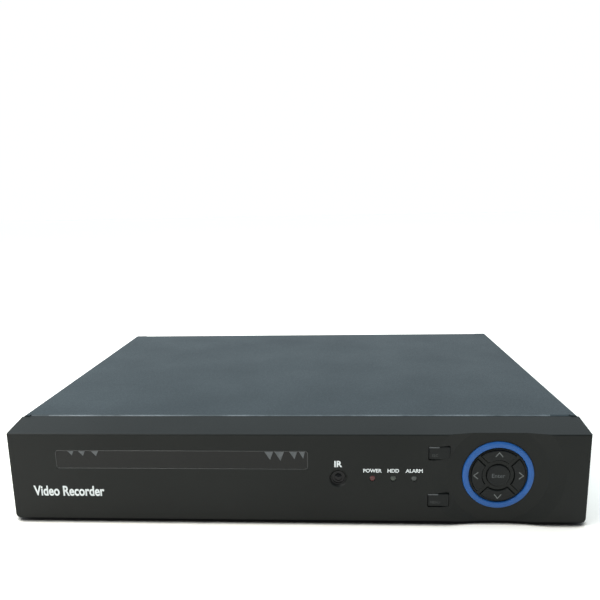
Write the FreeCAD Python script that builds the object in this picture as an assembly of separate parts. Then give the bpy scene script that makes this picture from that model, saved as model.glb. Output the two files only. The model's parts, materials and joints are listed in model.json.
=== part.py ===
# Desktop video recorder: a folded steel case, a moulded bezel with a key pad, a hard drive,
# a fan, a main board and a row of rear sockets.
# Millimetres, +Z up, X to the right and Y to the rear. While a piece is made, y = 0 is the
# bezel's face and z = 0 the surface under the feet. save() then moves every piece back by half
# the depth, so that the origin is the middle of the footprint, on that surface.
import FreeCAD
import Part
import math
import os
from FreeCAD import Vector

# Whole object
case_width = 300.0
case_depth = 227.0              # bezel's face to the tips of the video jacks
case_height = 53.0

# Bezel
bezel_depth = 18.0
bezel_bottom = 1.5
bezel_face_top = 49.5
bezel_rear_top = 52.5
bezel_wall = 2.5
bezel_corner = 2.5
bezel_edge = 0.7
bezel_boss_x = [-143.0, -70.0, 0.0, 143.0]
bezel_boss_z = 12.0
bezel_rib_x = [-112.0, -90.0, -45.0, -22.0]
rib_half = 0.6
rib_low = bezel_bottom + 1.5
rib_high = 48.5
rib_rear = 9.0
boss_radius = 3.2
post_radius = 3.0
inside_start = 1.0              # where bosses and ribs start, inside the front wall
over = 1.0                      # how far a cut runs past the surface it opens
seat_gap = 0.1                  # between a moulding and what it stops against

# Folded sheet
sheet = 1.0
cover_width = 299.8
cover_front = 18.2
cover_rear = 213.2
cover_bend = 1.5
front_fold_half = 145.5
rear_fold_half = 140.0
tray_half = 148.0
tray_corner_gap = 1.5
tray_front = 18.8
tray_rear = 212.0
tray_bottom = 3.5
tray_floor = tray_bottom + sheet
tray_flange_top = 17.0
tray_front_top = 26.0
tray_rear_top = 51.4
rear_inside = tray_rear - sheet
wall_cut = (205.0, 220.0)       # from inside the rear wall to outside it
side_cut = (-160.0, 160.0)      # across the whole case
floor_cut = (0.0, 30.0)         # from under the tray to above its studs
front_fold_low = 46.5
rear_fold_low = 44.5
fold_relief = 0.5
cover_corner = 2.0

# Places in the folded sheet
cover_screw_x = [-130.0, 0.0, 130.0]
cover_screw_z = 48.0
side_screw_y = [60.0, 190.0]
side_screw_z = 10.5
vent_count = 20
vent_first = 82.0
vent_pitch = 5.6
vent_width = 2.4
vent_low = 17.5
vent_high = 38.5
floor_vent_count = 6
floor_vent_first = 144.0
floor_vent_pitch = 10.6
floor_vent_width = 5.2
floor_vent_spans = [(-60.0, -25.0), (50.0, 85.0)]
foot_places = {"foot_front_left": (-128.0, 38.0), "foot_front_right": (128.0, 38.0),
               "foot_rear_left": (-128.0, 186.0), "foot_rear_right": (128.0, 186.0)}
foot_sole_radius = 6.5
foot_top_radius = 7.5
foot_dish_radius = 3.5
foot_dish_depth = 0.8
foot_hole = 3.0
foot_neck = 2.9
foot_barb = 3.6
foot_tip = 2.2
foot_barb_height = 1.3

# Key pad: the round dish, its ring and its keys
pad_x = 105.0
pad_z = 27.2
dish_depth = 1.8
dish_floor_radius = 26.0
dish_rim_radius = 33.6
dish_back_radius = 30.0
ring_inner = 14.9
ring_outer = 18.0
ring_gap = 0.15
ring_front = 0.7
ring_rear = 3.1
ring_groove = 3.2
ring_edge = 0.7
peg_radius = 1.0
peg_hole = 1.2
peg_front = 2.5
peg_rear = 10.5
peg_circle = (ring_inner + ring_outer) / 2
hub_radius = 14.2
hub_front = 1.35
arrow_outer = 13.8
arrow_inner = 8.0
web_width = 1.9
enter_hole = 6.1
key_gap = 0.25
key_front = 0.6
flange_front = 4.4
flange_rear = 5.4
flange_lip = 0.6
arrow_circle = 11.0
arrow_turn = {"up_key": 0, "right_key": 90, "down_key": 180, "left_key": 270}
side_key_x = 75.0
side_key_z = {"escape_key": 39.4, "menu_key": 13.6}
side_key_width = 11.2
side_key_height = 7.4
side_key_front = 0.3
side_key_corner = 0.8
side_key_collar = 1.6
enter_front = 0.5
arrow_edge = 0.45
enter_edge = 0.6
side_key_edge = 0.4
stem_radius = 1.6

# Key-pad board and its switches
pad_board_front = 12.0
pad_board_rear = 13.6
switch_side = 6.0
switch_front = 8.5
plunger_tip = 7.5
plunger_radius = 1.75
plunger_length = 3.5
post_places = [(17.0, 11.0), (17.0, 42.0), (134.0, 11.0), (134.0, 42.0)]

# Indicators and the drive window
lamp_x = {"power_light": 41.2, "drive_light": 51.8, "alarm_light": 62.4}
lamp_z = 25.6
lamp_radius = 1.5
lamp_gap = 0.05
lamp_front = 0.15
lamp_rear = 10.0
lamp_collar = 0.7
lens_stop = 2.6                 # where the lamps and the receiver's window stop in the wall
lens_stop_rear = 3.6
bezel_hole_rear = 4.0
chip_front = 10.8               # front of the light chips on the key-pad board
ir_x = 23.7
ir_radius = 3.9
ir_rim = 0.9
ir_dome_radius = 1.9
ir_dome_ball = 2.6
window_low = Vector(-124.6, 0, 30.4)
window_high = Vector(8.2, 0, 40.6)
window_depth = 0.8
window_gap = 0.15
window_front = 0.1

# The key pad's plug socket, on both boards
pad_header_x = 100.0

# Screws: shank and head, and the hole radii that go with them
shank = 1.45
head_radius = 2.8
head_height = 1.9
low_head = 0.7
slot_width = 0.6
tapped = 1.5
clear = 1.7

# Hard drive, its long side along X
drive_left = -141.0
drive_front = 26.0
drive_length = 147.0
drive_width = 101.6
drive_bottom = 6.0
drive_height = 26.1
drive_right = drive_left + drive_length
drive_rear = drive_front + drive_width
drive_corner = 2.0
drive_screw_insets = [41.3, 85.7]
drive_screw_edge = 3.2
drive_board_thick = 1.6
rail_width = 6.0
lid_thick = 1.6
base_low = drive_bottom + 2.0
bay_floor = base_low + 6.0
lid_low = drive_bottom + drive_height - lid_thick
disc_low = base_low + 10.5
disc_thick = 1.27
coil_thick = 1.6
plug_front = drive_front + 9.0
plug_rear = drive_front + 45.0
platter_x = drive_left + 51.0
platter_y = drive_front + drive_width / 2
platter_radius = 47.5
arm_x = platter_x + 62.0
arm_y = platter_y - 22.0
arm_reach = 45.0
arm_park_turn = 28.5
shaft_radius = 2.5
running_gap = 0.03

# Main board
board_left = -92.0
board_right = 143.0
board_front = 133.0
board_rear = 210.0
board_bottom = 9.5
board_top = 11.1
board_holes = [(-86, 139), (25, 139), (137, 139), (-86, 204), (26, 190), (138, 190)]

cell_x = -30.0
cell_y = 145.5

# Fan, at the rear wall
fan_x = -118.0
fan_z = 25.0
fan_side = 40.0
fan_thickness = 10.0
fan_rear = rear_inside - 0.1
fan_front = fan_rear - fan_thickness
fan_bore = 18.9
fan_blades = 7
fan_corner = 16.0               # from the fan's middle to its screws, each way
grille_radii = [5.0, 9.6, 14.2, 18.8]
grille_slot = 3.0
grille_spoke_half = 1.1

# Rear sockets
bnc_x = [-66.0, -50.0, -34.0, -18.0]
bnc_z = [20.5, 37.0]
bnc_barrel = 4.8
rca_x = [2.0, 16.0]
rca_z = [19.0, 33.0]
rca_barrel = 4.15
vga_x = 45.0
vga_z = 18.5
hdmi_x = 73.0
usb_x = 92.0
lan_x = 113.0
power_x = 132.5


# Directions
up = Vector(0, 0, 1)
down = Vector(0, 0, -1)
to_rear = Vector(0, 1, 0)
to_front = Vector(0, -1, 0)


# Shapes

def box(x0, x1, y0, y1, z0, z1):
    return Part.makeBox(x1 - x0, y1 - y0, z1 - z0, Vector(x0, y0, z0))


def rod_x(y, z, radius, x0, x1):
    return Part.makeCylinder(radius, x1 - x0, Vector(x0, y, z), Vector(1, 0, 0))


def rod_y(x, z, radius, y0, y1):
    return Part.makeCylinder(radius, y1 - y0, Vector(x, y0, z), Vector(0, 1, 0))


def rod_z(x, y, radius, z0, z1):
    return Part.makeCylinder(radius, z1 - z0, Vector(x, y, z0), Vector(0, 0, 1))


def tube_y(x, z, outer, inner, y0, y1):
    return rod_y(x, z, outer, y0, y1).cut(rod_y(x, z, inner, y0 - 1, y1 + 1))


def tube_z(x, y, outer, inner, z0, z1):
    return rod_z(x, y, outer, z0, z1).cut(rod_z(x, y, inner, z0 - 1, z1 + 1))


def prism_x(outline, x0, x1):
    """A (y, z) outline pushed along X."""
    points = [Vector(x0, y, z) for y, z in outline]
    face = Part.Face(Part.makePolygon(points + points[:1]))
    return face.extrude(Vector(x1 - x0, 0, 0))


def capsule_x(y, z0, z1, width, x0, x1):
    """An upright slot with round ends, cut along X."""
    r = width / 2
    body = box(x0, x1, y - r, y + r, z0 + r, z1 - r)
    return body.fuse([rod_x(y, z0 + r, r, x0, x1), rod_x(y, z1 - r, r, x0, x1)])


def capsule_z(x0, x1, y, width, z0, z1):
    """A slot along X with round ends, cut along Z."""
    r = width / 2
    body = box(x0 + r, x1 - r, y - r, y + r, z0, z1)
    return body.fuse([rod_z(x0 + r, y, r, z0, z1), rod_z(x1 - r, y, r, z0, z1)])


def along(shape, axis):
    """The straight edges that run along one axis."""
    found = []
    for edge in shape.Edges:
        if len(edge.Vertexes) == 2:
            way = edge.Vertexes[1].Point - edge.Vertexes[0].Point
            if way.Length > 1e-6 and abs(abs(way.normalize().dot(axis)) - 1) < 1e-6:
                found.append(edge)
    return found


def rounded(shape, radius, axis=None, keep=lambda p: True):
    """The shape with a fillet on the edges along an axis whose middle passes keep."""
    edges = along(shape, axis) if axis else shape.Edges
    chosen = [e for e in edges if keep(e.BoundBox.Center)]
    return shape.makeFillet(radius, chosen)


def softened_front(shape, radius):
    """The shape with a fillet round its foremost face."""
    front = shape.BoundBox.YMin
    edges = [e for e in shape.Edges if e.BoundBox.YMax < front + 1e-4]
    return shape.makeFillet(radius, edges)


def save(name, *solids):
    """Writes one node, moved so that the origin is the middle of the footprint."""
    shape = solids[0] if len(solids) == 1 else Part.makeCompound(list(solids))
    shape = shape.copy()
    shape.translate(Vector(0, -case_depth / 2, 0))
    bad = [s for s in shape.Solids if not s.isValid() or s.Volume <= 0]
    if bad or not shape.Solids:
        print("PROBLEM", name, "solids", len(shape.Solids), "bad", len(bad))
    shape.exportStep("parts/" + name + ".step")


# Bezel

def bezel_outer():
    outline = [(0, bezel_bottom), (0, bezel_face_top), (bezel_depth, bezel_rear_top),
               (bezel_depth, bezel_bottom)]
    half = case_width / 2
    body = prism_x(outline, -half, half)
    body = rounded(body, bezel_corner, to_rear, lambda p: p.z < bezel_bottom + over)
    face_edges = [e for e in body.Edges if e.BoundBox.YMax < 1e-4]
    return body.makeFillet(bezel_edge, face_edges)


def bezel_cavity():
    slope = (bezel_rear_top - bezel_face_top) / bezel_depth
    low = bezel_bottom + bezel_wall
    front_top = bezel_face_top + slope * bezel_wall - bezel_wall
    rear = bezel_depth + over
    rear_top = bezel_face_top + slope * rear - bezel_wall
    half = case_width / 2 - bezel_wall
    outline = [(bezel_wall, low), (bezel_wall, front_top), (rear, rear_top), (rear, low)]
    return prism_x(outline, -half, half)


def sector(gap, y0, y1):
    """The upper arrow opening or, with a gap, the key that fits it."""
    ring = tube_y(pad_x, pad_z, arrow_outer - gap, arrow_inner + gap, y0, y1)
    reach = 2 * arrow_outer
    half_web = web_width / 2 + gap
    wedge = Part.Face(Part.makePolygon([Vector(0, y0 - over, 0), Vector(-reach, y0 - over, reach),
                                        Vector(reach, y0 - over, reach), Vector(0, y0 - over, 0)]))
    wedge = wedge.extrude(Vector(0, y1 - y0 + 2 * over, 0))
    wedge.translate(Vector(pad_x, 0, pad_z + half_web * math.sqrt(2)))
    return ring.common(wedge)


def turned(shape, degrees):
    """The shape turned clockwise, seen from the front, about the key pad's middle."""
    copy = shape.copy()
    copy.rotate(Vector(pad_x, 0, pad_z), to_rear, degrees)
    return copy


def side_key_block(name, gap, y0, y1):
    z = side_key_z[name]
    w = side_key_width / 2 - gap
    h = side_key_height / 2 - gap
    block = box(side_key_x - w, side_key_x + w, y0, y1, z - h, z + h)
    return rounded(block, side_key_corner, to_rear)


def ring_pegs(radius, y0, y1):
    pegs = []
    for turn in arrow_turn.values():
        a = math.radians(turn)
        x = pad_x + peg_circle * math.cos(a)
        z = pad_z + peg_circle * math.sin(a)
        pegs.append(rod_y(x, z, radius, y0, y1))
    return pegs


def front_bezel():
    outer = bezel_outer()
    shell = outer.cut(bezel_cavity())
    dish_back = rod_y(pad_x, pad_z, dish_back_radius, dish_depth, flange_front - seat_gap)
    posts = [rod_y(x, z, post_radius, inside_start, pad_board_front) for x, z in post_places]
    bosses = [rod_y(x, bezel_boss_z, boss_radius, inside_start, tray_front - seat_gap)
              for x in bezel_boss_x]
    ribs = [box(x - rib_half, x + rib_half, inside_start, rib_rear, rib_low, rib_high)
            for x in bezel_rib_x]
    collars = [side_key_block(name, -side_key_collar, inside_start, flange_front - seat_gap)
               for name in side_key_z]
    shell = shell.fuse([dish_back.common(outer)] + posts + bosses + ribs + collars)
    dish = Part.makeCone(dish_rim_radius, dish_floor_radius, dish_depth,
                         Vector(pad_x, 0, pad_z), to_rear)
    lead_in = rod_y(pad_x, pad_z, dish_rim_radius, -over, 0.0)
    hub = rod_y(pad_x, pad_z, hub_radius, hub_front, dish_depth + over)
    shell = shell.cut(dish.fuse(lead_in)).fuse(hub)
    key_cut = flange_rear + 2 * over
    opening = sector(0, -over, key_cut)
    cuts = [turned(opening, degrees) for degrees in arrow_turn.values()]
    cuts.append(rod_y(pad_x, pad_z, enter_hole, -over, key_cut))
    cuts.append(tube_y(pad_x, pad_z, ring_outer + ring_gap, ring_inner - ring_gap, -over,
                       ring_groove))
    cuts += ring_pegs(peg_hole, peg_front, key_cut)
    cuts += [side_key_block(name, 0, -over, key_cut) for name in side_key_z]
    cuts += [rod_y(x, lamp_z, lamp_radius + lamp_gap, -over, bezel_hole_rear) for x in lamp_x.values()]
    cuts.append(rod_y(ir_x, lamp_z, ir_radius, -over, bezel_hole_rear))
    cuts.append(Part.makeCone(ir_radius + ir_rim, ir_radius, ir_rim, Vector(ir_x, 0, lamp_z),
                              to_rear))
    cuts.append(box(window_low.x, window_high.x, -over, window_depth, window_low.z,
                    window_high.z))
    cuts += [rod_y(x, z, tapped, 5.0, pad_board_rear) for x, z in post_places]
    cuts += [rod_y(x, bezel_boss_z, tapped, 8.0, tray_front) for x in bezel_boss_x]
    shell = shell.cut(Part.makeCompound(cuts))
    save("front_bezel", shell)


def slot_window():
    edge = window_gap
    pane = box(window_low.x + edge, window_high.x - edge, window_front, window_depth,
               window_low.z + edge, window_high.z - edge)
    pane = rounded(pane, 1.0, to_rear)
    save("slot_window", softened_front(pane, 0.2))


def light_ring():
    ring = tube_y(pad_x, pad_z, ring_outer, ring_inner, ring_front, ring_rear)
    ring = softened_front(ring, ring_edge)
    save("light_ring", ring.fuse(ring_pegs(peg_radius, peg_front, peg_rear)))


def ir_window():
    body = rod_y(ir_x, lamp_z, ir_radius - seat_gap, ir_rim, lens_stop_rear)
    flange = rod_y(ir_x, lamp_z, ir_radius + ir_rim, lens_stop, lens_stop_rear)
    groove = tube_y(ir_x, lamp_z, ir_radius - 0.7, ir_dome_radius, 0.0, 1.5)
    lens = Part.makeSphere(ir_dome_ball, Vector(ir_x, ir_dome_ball + 0.3, lamp_z))
    lens = lens.common(rod_y(ir_x, lamp_z, ir_dome_radius, -over, 2.0))
    save("ir_window", body.fuse(flange).cut(groove).fuse(lens))


def indicator_lights():
    for name, x in lamp_x.items():
        pipe = softened_front(rod_y(x, lamp_z, lamp_radius, lamp_front, lamp_rear), 0.4)
        collar = rod_y(x, lamp_z, lamp_radius + lamp_collar, lens_stop, lens_stop_rear)
        save(name, pipe.fuse(collar))


# Keys: each cap goes with the plunger of its own switch

def plunger(x, z):
    return rod_y(x, z, plunger_radius, plunger_tip, plunger_tip + plunger_length)


def stem(x, z):
    return rod_y(x, z, stem_radius, flange_rear - 0.2, plunger_tip)


def switch_places():
    places = {"enter_key": (pad_x, pad_z)}
    for name, turn in arrow_turn.items():
        a = math.radians(turn)
        places[name] = (pad_x + arrow_circle * math.sin(a), pad_z + arrow_circle * math.cos(a))
    for name, z in side_key_z.items():
        places[name] = (side_key_x, z)
    return places


def keys():
    middle = pad_z + arrow_circle
    cap = softened_front(sector(key_gap, key_front, flange_rear), arrow_edge)
    cap = cap.fuse([sector(-flange_lip, flange_front, flange_rear), stem(pad_x, middle)])
    for name, degrees in arrow_turn.items():
        save(name, turned(cap, degrees), turned(plunger(pad_x, middle), degrees))
    cap = rod_y(pad_x, pad_z, enter_hole - key_gap, enter_front, flange_rear)
    cap = softened_front(cap, enter_edge)
    lip = rod_y(pad_x, pad_z, enter_hole + flange_lip, flange_front, flange_rear)
    save("enter_key", cap.fuse([lip, stem(pad_x, pad_z)]), plunger(pad_x, pad_z))
    for name, z in side_key_z.items():
        cap = side_key_block(name, key_gap, side_key_front, flange_rear)
        cap = softened_front(cap, side_key_edge)
        lip = side_key_block(name, -flange_lip, flange_front, flange_rear)
        save(name, cap.fuse([lip, stem(side_key_x, z)]), plunger(side_key_x, z))


def switch_housings():
    housings = []
    h = switch_side / 2
    for x, z in switch_places().values():
        block = box(x - h, x + h, switch_front, pad_board_front, z - h, z + h)
        bore = rod_y(x, z, plunger_radius + seat_gap, switch_front - over,
                     pad_board_front - 0.2)
        housings.append(block.cut(bore))
    save("switch_housings", *housings)


def keypad_board():
    board = box(12.0, 138.0, pad_board_front, pad_board_rear, 6.5, 46.5)
    board = rounded(board, 2.0, to_rear)
    holes = [rod_y(x, z, clear, pad_board_front - over, pad_board_rear + over) for x, z in post_places]
    save("keypad_board", board.cut(Part.makeCompound(holes)))


def keypad_components():
    """Receiver, lamps behind the light pipes and the ring, and the lead's socket."""
    receiver = box(ir_x - 3, ir_x + 3, 7.0, pad_board_front, lamp_z - 3.5, lamp_z + 3.5)
    receiver = receiver.fuse(Part.makeSphere(2.4, Vector(ir_x, 7.0, lamp_z)))
    lamps = []
    for x in lamp_x.values():
        lamps.append(box(x - 1.6, x + 1.6, chip_front, pad_board_front, lamp_z - 0.8,
                         lamp_z + 0.8))
    for peg in ring_pegs(peg_radius, 0, 1):
        c = peg.BoundBox.Center
        lamps.append(box(c.x - 1.0, c.x + 1.0, chip_front, pad_board_front, c.z - 0.7,
                         c.z + 0.7))
    x, y = pad_header_x, pad_board_rear
    socket = box(x - 9, x + 9, y, y + 3, 36.0, 41.0)
    socket = socket.cut(box(x - 7, x + 7, y + 1, y + 4, 38.0, 39.0))
    save("keypad_components", receiver, socket, *lamps)


# Folded sheet

def top_cover():
    half = cover_width / 2
    y0 = cover_front
    y1 = cover_rear - 0.4
    outer = box(-half, half, y0, y1, tray_bottom, case_height)
    outer = rounded(outer, cover_corner, to_rear, lambda p: p.z > cover_screw_z)
    inner = box(-half + sheet, half - sheet, y0 - over, y1 + over, 0, case_height - sheet)
    inner = rounded(inner, cover_corner - sheet, to_rear, lambda p: p.z > cover_screw_z)
    cover = outer.cut(inner)
    reach = cover_bend
    front_edge = cover_front + reach
    rear_edge = cover_rear - reach
    front_notch = front_fold_half + fold_relief
    rear_notch = rear_fold_half + fold_relief
    notches = [box(-front_notch, front_notch, 0, front_edge, cover_screw_z, case_height + over),
               box(-rear_notch, rear_notch, rear_edge, case_depth, cover_screw_z,
                   case_height + over)]
    cover = cover.cut(Part.makeCompound(notches))
    cover = cover.fuse([edge_fold(front_edge, -1, front_fold_half, front_fold_low),
                        edge_fold(rear_edge, 1, rear_fold_half, rear_fold_low)])
    cuts = [rod_y(x, cover_screw_z, clear, *wall_cut) for x in cover_screw_x]
    cuts += [rod_x(y, side_screw_z, clear, *side_cut) for y in side_screw_y]
    for k in range(vent_count):
        y = vent_first + vent_pitch * k
        cuts.append(capsule_x(y, vent_low, vent_high, vent_width, *side_cut))
    save("top_cover", cover.cut(Part.makeCompound(cuts)).removeSplitter())


def edge_fold(y, way, half, low):
    """The bend and flange at one end of the cover's top: way is -1 at the front, 1 at the rear."""
    z = case_height - cover_bend
    outer = rod_x(y, z, cover_bend, -half, half)
    bend = outer.cut(rod_x(y, z, cover_bend - sheet, -half - over, half + over))
    ys = sorted((y, y + 2 * cover_bend * way))
    bend = bend.common(box(-half, half, ys[0], ys[1], z, case_height + over))
    ys = sorted((y + way * (cover_bend - sheet), y + way * cover_bend))
    return bend.fuse(box(-half, half, ys[0], ys[1], low, z))


def fan_grille():
    """Four rings of slots, with four spokes left between them."""
    rings = [tube_y(fan_x, fan_z, outer, outer - grille_slot, *wall_cut)
             for outer in grille_radii]
    spokes = []
    for turn in (45, 135):
        bar = box(-fan_side, fan_side, *wall_cut, -grille_spoke_half, grille_spoke_half)
        bar.rotate(Vector(0, 0, 0), to_rear, turn)
        bar.translate(Vector(fan_x, 0, fan_z))
        spokes.append(bar)
    return [ring.cut(Part.makeCompound(spokes)) for ring in rings]


def fan_corners():
    return [(fan_x + sx * fan_corner, fan_z + sz * fan_corner)
            for sx in (-1, 1) for sz in (-1, 1)]


def socket_holes():
    """The rear wall's openings for the sockets."""
    y0, y1 = wall_cut
    low = board_top - 0.3
    holes = [rod_y(x, z, 6.4, y0, y1) for x in bnc_x for z in bnc_z]
    holes += [rod_y(x, z, 4.6, y0, y1) for x in rca_x for z in rca_z]
    holes.append(box(vga_x - 15.8, vga_x + 15.8, y0, y1, vga_z - 6.5, vga_z + 6.5))
    holes.append(box(hdmi_x - 7.8, hdmi_x + 7.8, y0, y1, low, board_top + 6.4))
    holes.append(box(usb_x - 6.9, usb_x + 6.9, y0, y1, low, board_top + 16.0))
    holes.append(box(lan_x - 8.3, lan_x + 8.3, y0, y1, low, board_top + 13.8))
    holes.append(box(power_x - 4.9, power_x + 4.9, y0, y1, low, board_top + 11.3))
    return holes


def chassis_tray():
    floor = box(-tray_half, tray_half, tray_front, tray_rear, tray_bottom, tray_floor)
    left = box(-tray_half, -tray_half + sheet, tray_front + tray_corner_gap, rear_inside - 0.5,
               tray_bottom, tray_flange_top)
    right = left.mirror(Vector(0, 0, 0), Vector(1, 0, 0))
    front = box(-tray_half + tray_corner_gap, tray_half - tray_corner_gap, tray_front,
                tray_front + sheet, tray_bottom, tray_front_top)
    rear = box(-tray_half, tray_half, rear_inside, tray_rear, tray_bottom, tray_rear_top)
    pads = [rod_z(x, y, 5.0, tray_floor - 0.2, drive_bottom) for x, y in drive_screw_places()]
    studs = [rod_z(x, y, 3.0, tray_floor - 0.2, board_bottom) for x, y in board_holes]
    tray = floor.fuse([left, right, front, rear] + pads + studs)
    cuts = [rod_z(x, y, clear, *floor_cut) for x, y in drive_screw_places()]
    cuts += [rod_z(x, y, tapped, *floor_cut) for x, y in board_holes]
    cuts += [rod_z(x, y, foot_hole, *floor_cut) for x, y in foot_places.values()]
    cuts += [rod_y(x, bezel_boss_z, clear, tray_front - over, tray_front + sheet + over)
             for x in bezel_boss_x]
    cuts += [rod_y(x, cover_screw_z, tapped, *wall_cut) for x in cover_screw_x]
    cuts += [rod_x(y, side_screw_z, tapped, *side_cut) for y in side_screw_y]
    cuts += [rod_y(x, z, clear, *wall_cut) for x, z in fan_corners()]
    cuts += fan_grille() + socket_holes()
    for k in range(floor_vent_count):
        y = floor_vent_first + floor_vent_pitch * k
        cuts += [capsule_z(x0, x1, y, floor_vent_width, 0, tray_floor + over)
                 for x0, x1 in floor_vent_spans]
    save("chassis_tray", tray.cut(Part.makeCompound(cuts)).removeSplitter())


def feet():
    """Rubber feet with a dished sole, held by a barbed plug in the tray's floor."""
    for name, (x, y) in foot_places.items():
        pad = Part.makeCone(foot_sole_radius, foot_top_radius, tray_bottom, Vector(x, y, 0), up)
        pad = pad.cut(rod_z(x, y, foot_dish_radius, -over, foot_dish_depth))
        neck = rod_z(x, y, foot_neck, tray_bottom - 0.2, tray_floor)
        barb = Part.makeCone(foot_barb, foot_tip, foot_barb_height, Vector(x, y, tray_floor), up)
        save(name, pad.fuse([neck, barb]))


# Screws

def screw(base, way, length, head=head_radius, tall=head_height):
    """A pan-head screw: base is under the head, and way is the direction of its tip."""
    back = Vector(-way.x, -way.y, -way.z)
    cap = Part.makeCylinder(head, tall, base, back)
    rim = [e for e in cap.Edges if (e.BoundBox.Center - base).dot(back) > tall - 0.01]
    cap = cap.makeFillet(tall * 0.55, [e for e in rim if len(e.Vertexes) == 1])
    body = Part.makeCylinder(shank, length, base, way)
    recess = []
    for turn in (0, 90):
        bar = Part.makeBox(head * 1.1, tall, slot_width,
                           Vector(-head * 0.55, tall * 0.35, -slot_width / 2))
        bar.rotate(Vector(0, 0, 0), to_rear, turn)
        bar.Placement = FreeCAD.Placement(base, FreeCAD.Rotation(to_rear, back)).multiply(
            bar.Placement)
        recess.append(bar)
    return cap.fuse(body).cut(Part.makeCompound(recess))


def screws():
    rear = [screw(Vector(x, cover_rear, cover_screw_z), to_front, 6) for x in cover_screw_x]
    sides = []
    for y in side_screw_y:
        for side in (-1, 1):
            base = Vector(side * cover_width / 2, y, side_screw_z)
            sides.append(screw(base, Vector(-side, 0, 0), 5, tall=low_head))
    save("cover_screws", *(rear + sides))
    flat = [screw(Vector(x, y, board_top), down, 6) for x, y in board_holes]
    upright = [screw(Vector(x, pad_board_rear, z), to_front, 6) for x, z in post_places]
    save("board_screws", *(flat + upright))
    save("bezel_screws", *[screw(Vector(x, tray_front + sheet, bezel_boss_z), to_front, 8)
                           for x in bezel_boss_x])
    save("drive_screws", *[screw(Vector(x, y, tray_bottom), up, 5.5, 3.2, 1.7)
                           for x, y in drive_screw_places()])
    save("fan_screws", *[screw(Vector(x, tray_rear, z), to_front, 9) for x, z in fan_corners()])


# Hard drive

def drive_screw_places():
    xs = [drive_right - inset for inset in drive_screw_insets]
    ys = [drive_front + drive_screw_edge, drive_rear - drive_screw_edge]
    return [(x, y) for x in xs for y in ys]


def drive_base():
    base = box(drive_left, drive_right, drive_front, drive_rear, base_low, lid_low)
    rails = [box(drive_left, drive_right, y, y + rail_width, drive_bottom, base_low)
             for y in (drive_front, drive_rear - rail_width)]
    base = rounded(base.fuse(rails).removeSplitter(), drive_corner, up,
                   lambda p: abs(p.x - drive_left) < over or abs(p.x - drive_right) < over)
    bay = rod_z(platter_x, platter_y, platter_radius + 0.9, bay_floor, lid_low + over)
    arm_bay = box(arm_x - 48, drive_right - 8, drive_front + 4, drive_rear - 6,
                  bay_floor, lid_low + over)
    base = base.cut(bay.fuse(arm_bay))
    root = bay_floor - over
    spindle = rod_z(platter_x, platter_y, 6.0, root, bay_floor + 1.5)
    spindle = spindle.fuse(rod_z(platter_x, platter_y, shaft_radius, root, bay_floor + 7))
    post = rod_z(arm_x, arm_y, shaft_radius, root, lid_low - over)
    magnet = tube_z(arm_x, arm_y, 24.0, 13.0, root, bay_floor + 2)
    magnet = magnet.common(box(arm_x + 4, arm_x + 30, arm_y - 14, arm_y + 20, 0, case_height))
    base = base.fuse([spindle, post, magnet])
    holes = [rod_z(x, y, 1.6, 0, drive_bottom + 5) for x, y in drive_screw_places()]
    plug_bay = box(drive_right - 6, drive_right + over, plug_front - 1, plug_rear + 1,
                   drive_bottom - over, base_low + 4)
    save("drive_base", base.cut(Part.makeCompound(holes + [plug_bay])))


def drive_lid():
    lid = box(drive_left, drive_right, drive_front, drive_rear, lid_low, lid_low + lid_thick)
    lid = rounded(lid, drive_corner, up)
    groove_low = lid_low + 0.9
    grooves = [tube_z(platter_x, platter_y, 42.0, 38.0, groove_low, lid_low + 3),
               rod_z(platter_x, platter_y, 12.0, groove_low, lid_low + 3)]
    save("drive_lid", lid.cut(Part.makeCompound(grooves)))


def drive_electronics():
    low = drive_bottom + 0.3
    board = box(drive_left + 60, drive_right - 6.5, drive_front + 6.5, drive_rear - 6.5,
                low, low + drive_board_thick)
    save("drive_board", board)
    plug = box(drive_right - 5.8, drive_right, plug_front, plug_rear, low, base_low + 3)
    slots = [box(drive_right - 4, drive_right + over, plug_front + a, plug_front + b,
                 low + 1.2, base_low + 1.6) for a, b in ((2, 14), (16, 34))]
    save("drive_connector", plug.cut(Part.makeCompound(slots)))


def drive_platter():
    disc = rod_z(platter_x, platter_y, platter_radius, disc_low, disc_low + disc_thick)
    disc = disc.cut(rod_z(platter_x, platter_y, 6, 0, case_height))
    hub = rod_z(platter_x, platter_y, 12.5, base_low + 8.0, disc_low + 3.5)
    hub = hub.cut(rod_z(platter_x, platter_y, shaft_radius + running_gap, 0, case_height))
    save("drive_platter", disc.fuse(hub))


def drive_arm():
    """Drawn along -X from a pivot at the origin, then turned to its parked place."""
    low = disc_low + 2.2
    blade = Part.Face(Part.makePolygon([
        Vector(0, -5, low), Vector(-arm_reach, -1.5, low), Vector(-arm_reach, 1.5, low),
        Vector(0, 5, low), Vector(0, -5, low)]))
    blade = blade.extrude(Vector(0, 0, 1.2))
    head = box(-arm_reach, -arm_reach + 3.5, -1.0, 1.0, low - 0.5, low + 0.6)
    coil = tube_z(0, 0, 22.0, 14.0, low, low + coil_thick)
    coil = coil.common(box(5, 30, -9, 9, 0, case_height))
    tail = box(4, 16, -4, 4, low, low + coil_thick)
    arm = blade.fuse([head, coil, tail])
    arm.rotate(Vector(0, 0, 0), up, arm_park_turn)
    arm.translate(Vector(arm_x, arm_y, 0))
    pivot = rod_z(arm_x, arm_y, 7.0, base_low + 6.5, low + 2.5)
    bore = rod_z(arm_x, arm_y, shaft_radius + running_gap, 0, case_height)
    save("drive_arm", arm.fuse(pivot).cut(bore))


def hard_drive():
    drive_base()
    drive_lid()
    drive_electronics()
    drive_platter()
    drive_arm()


# Main board

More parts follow.
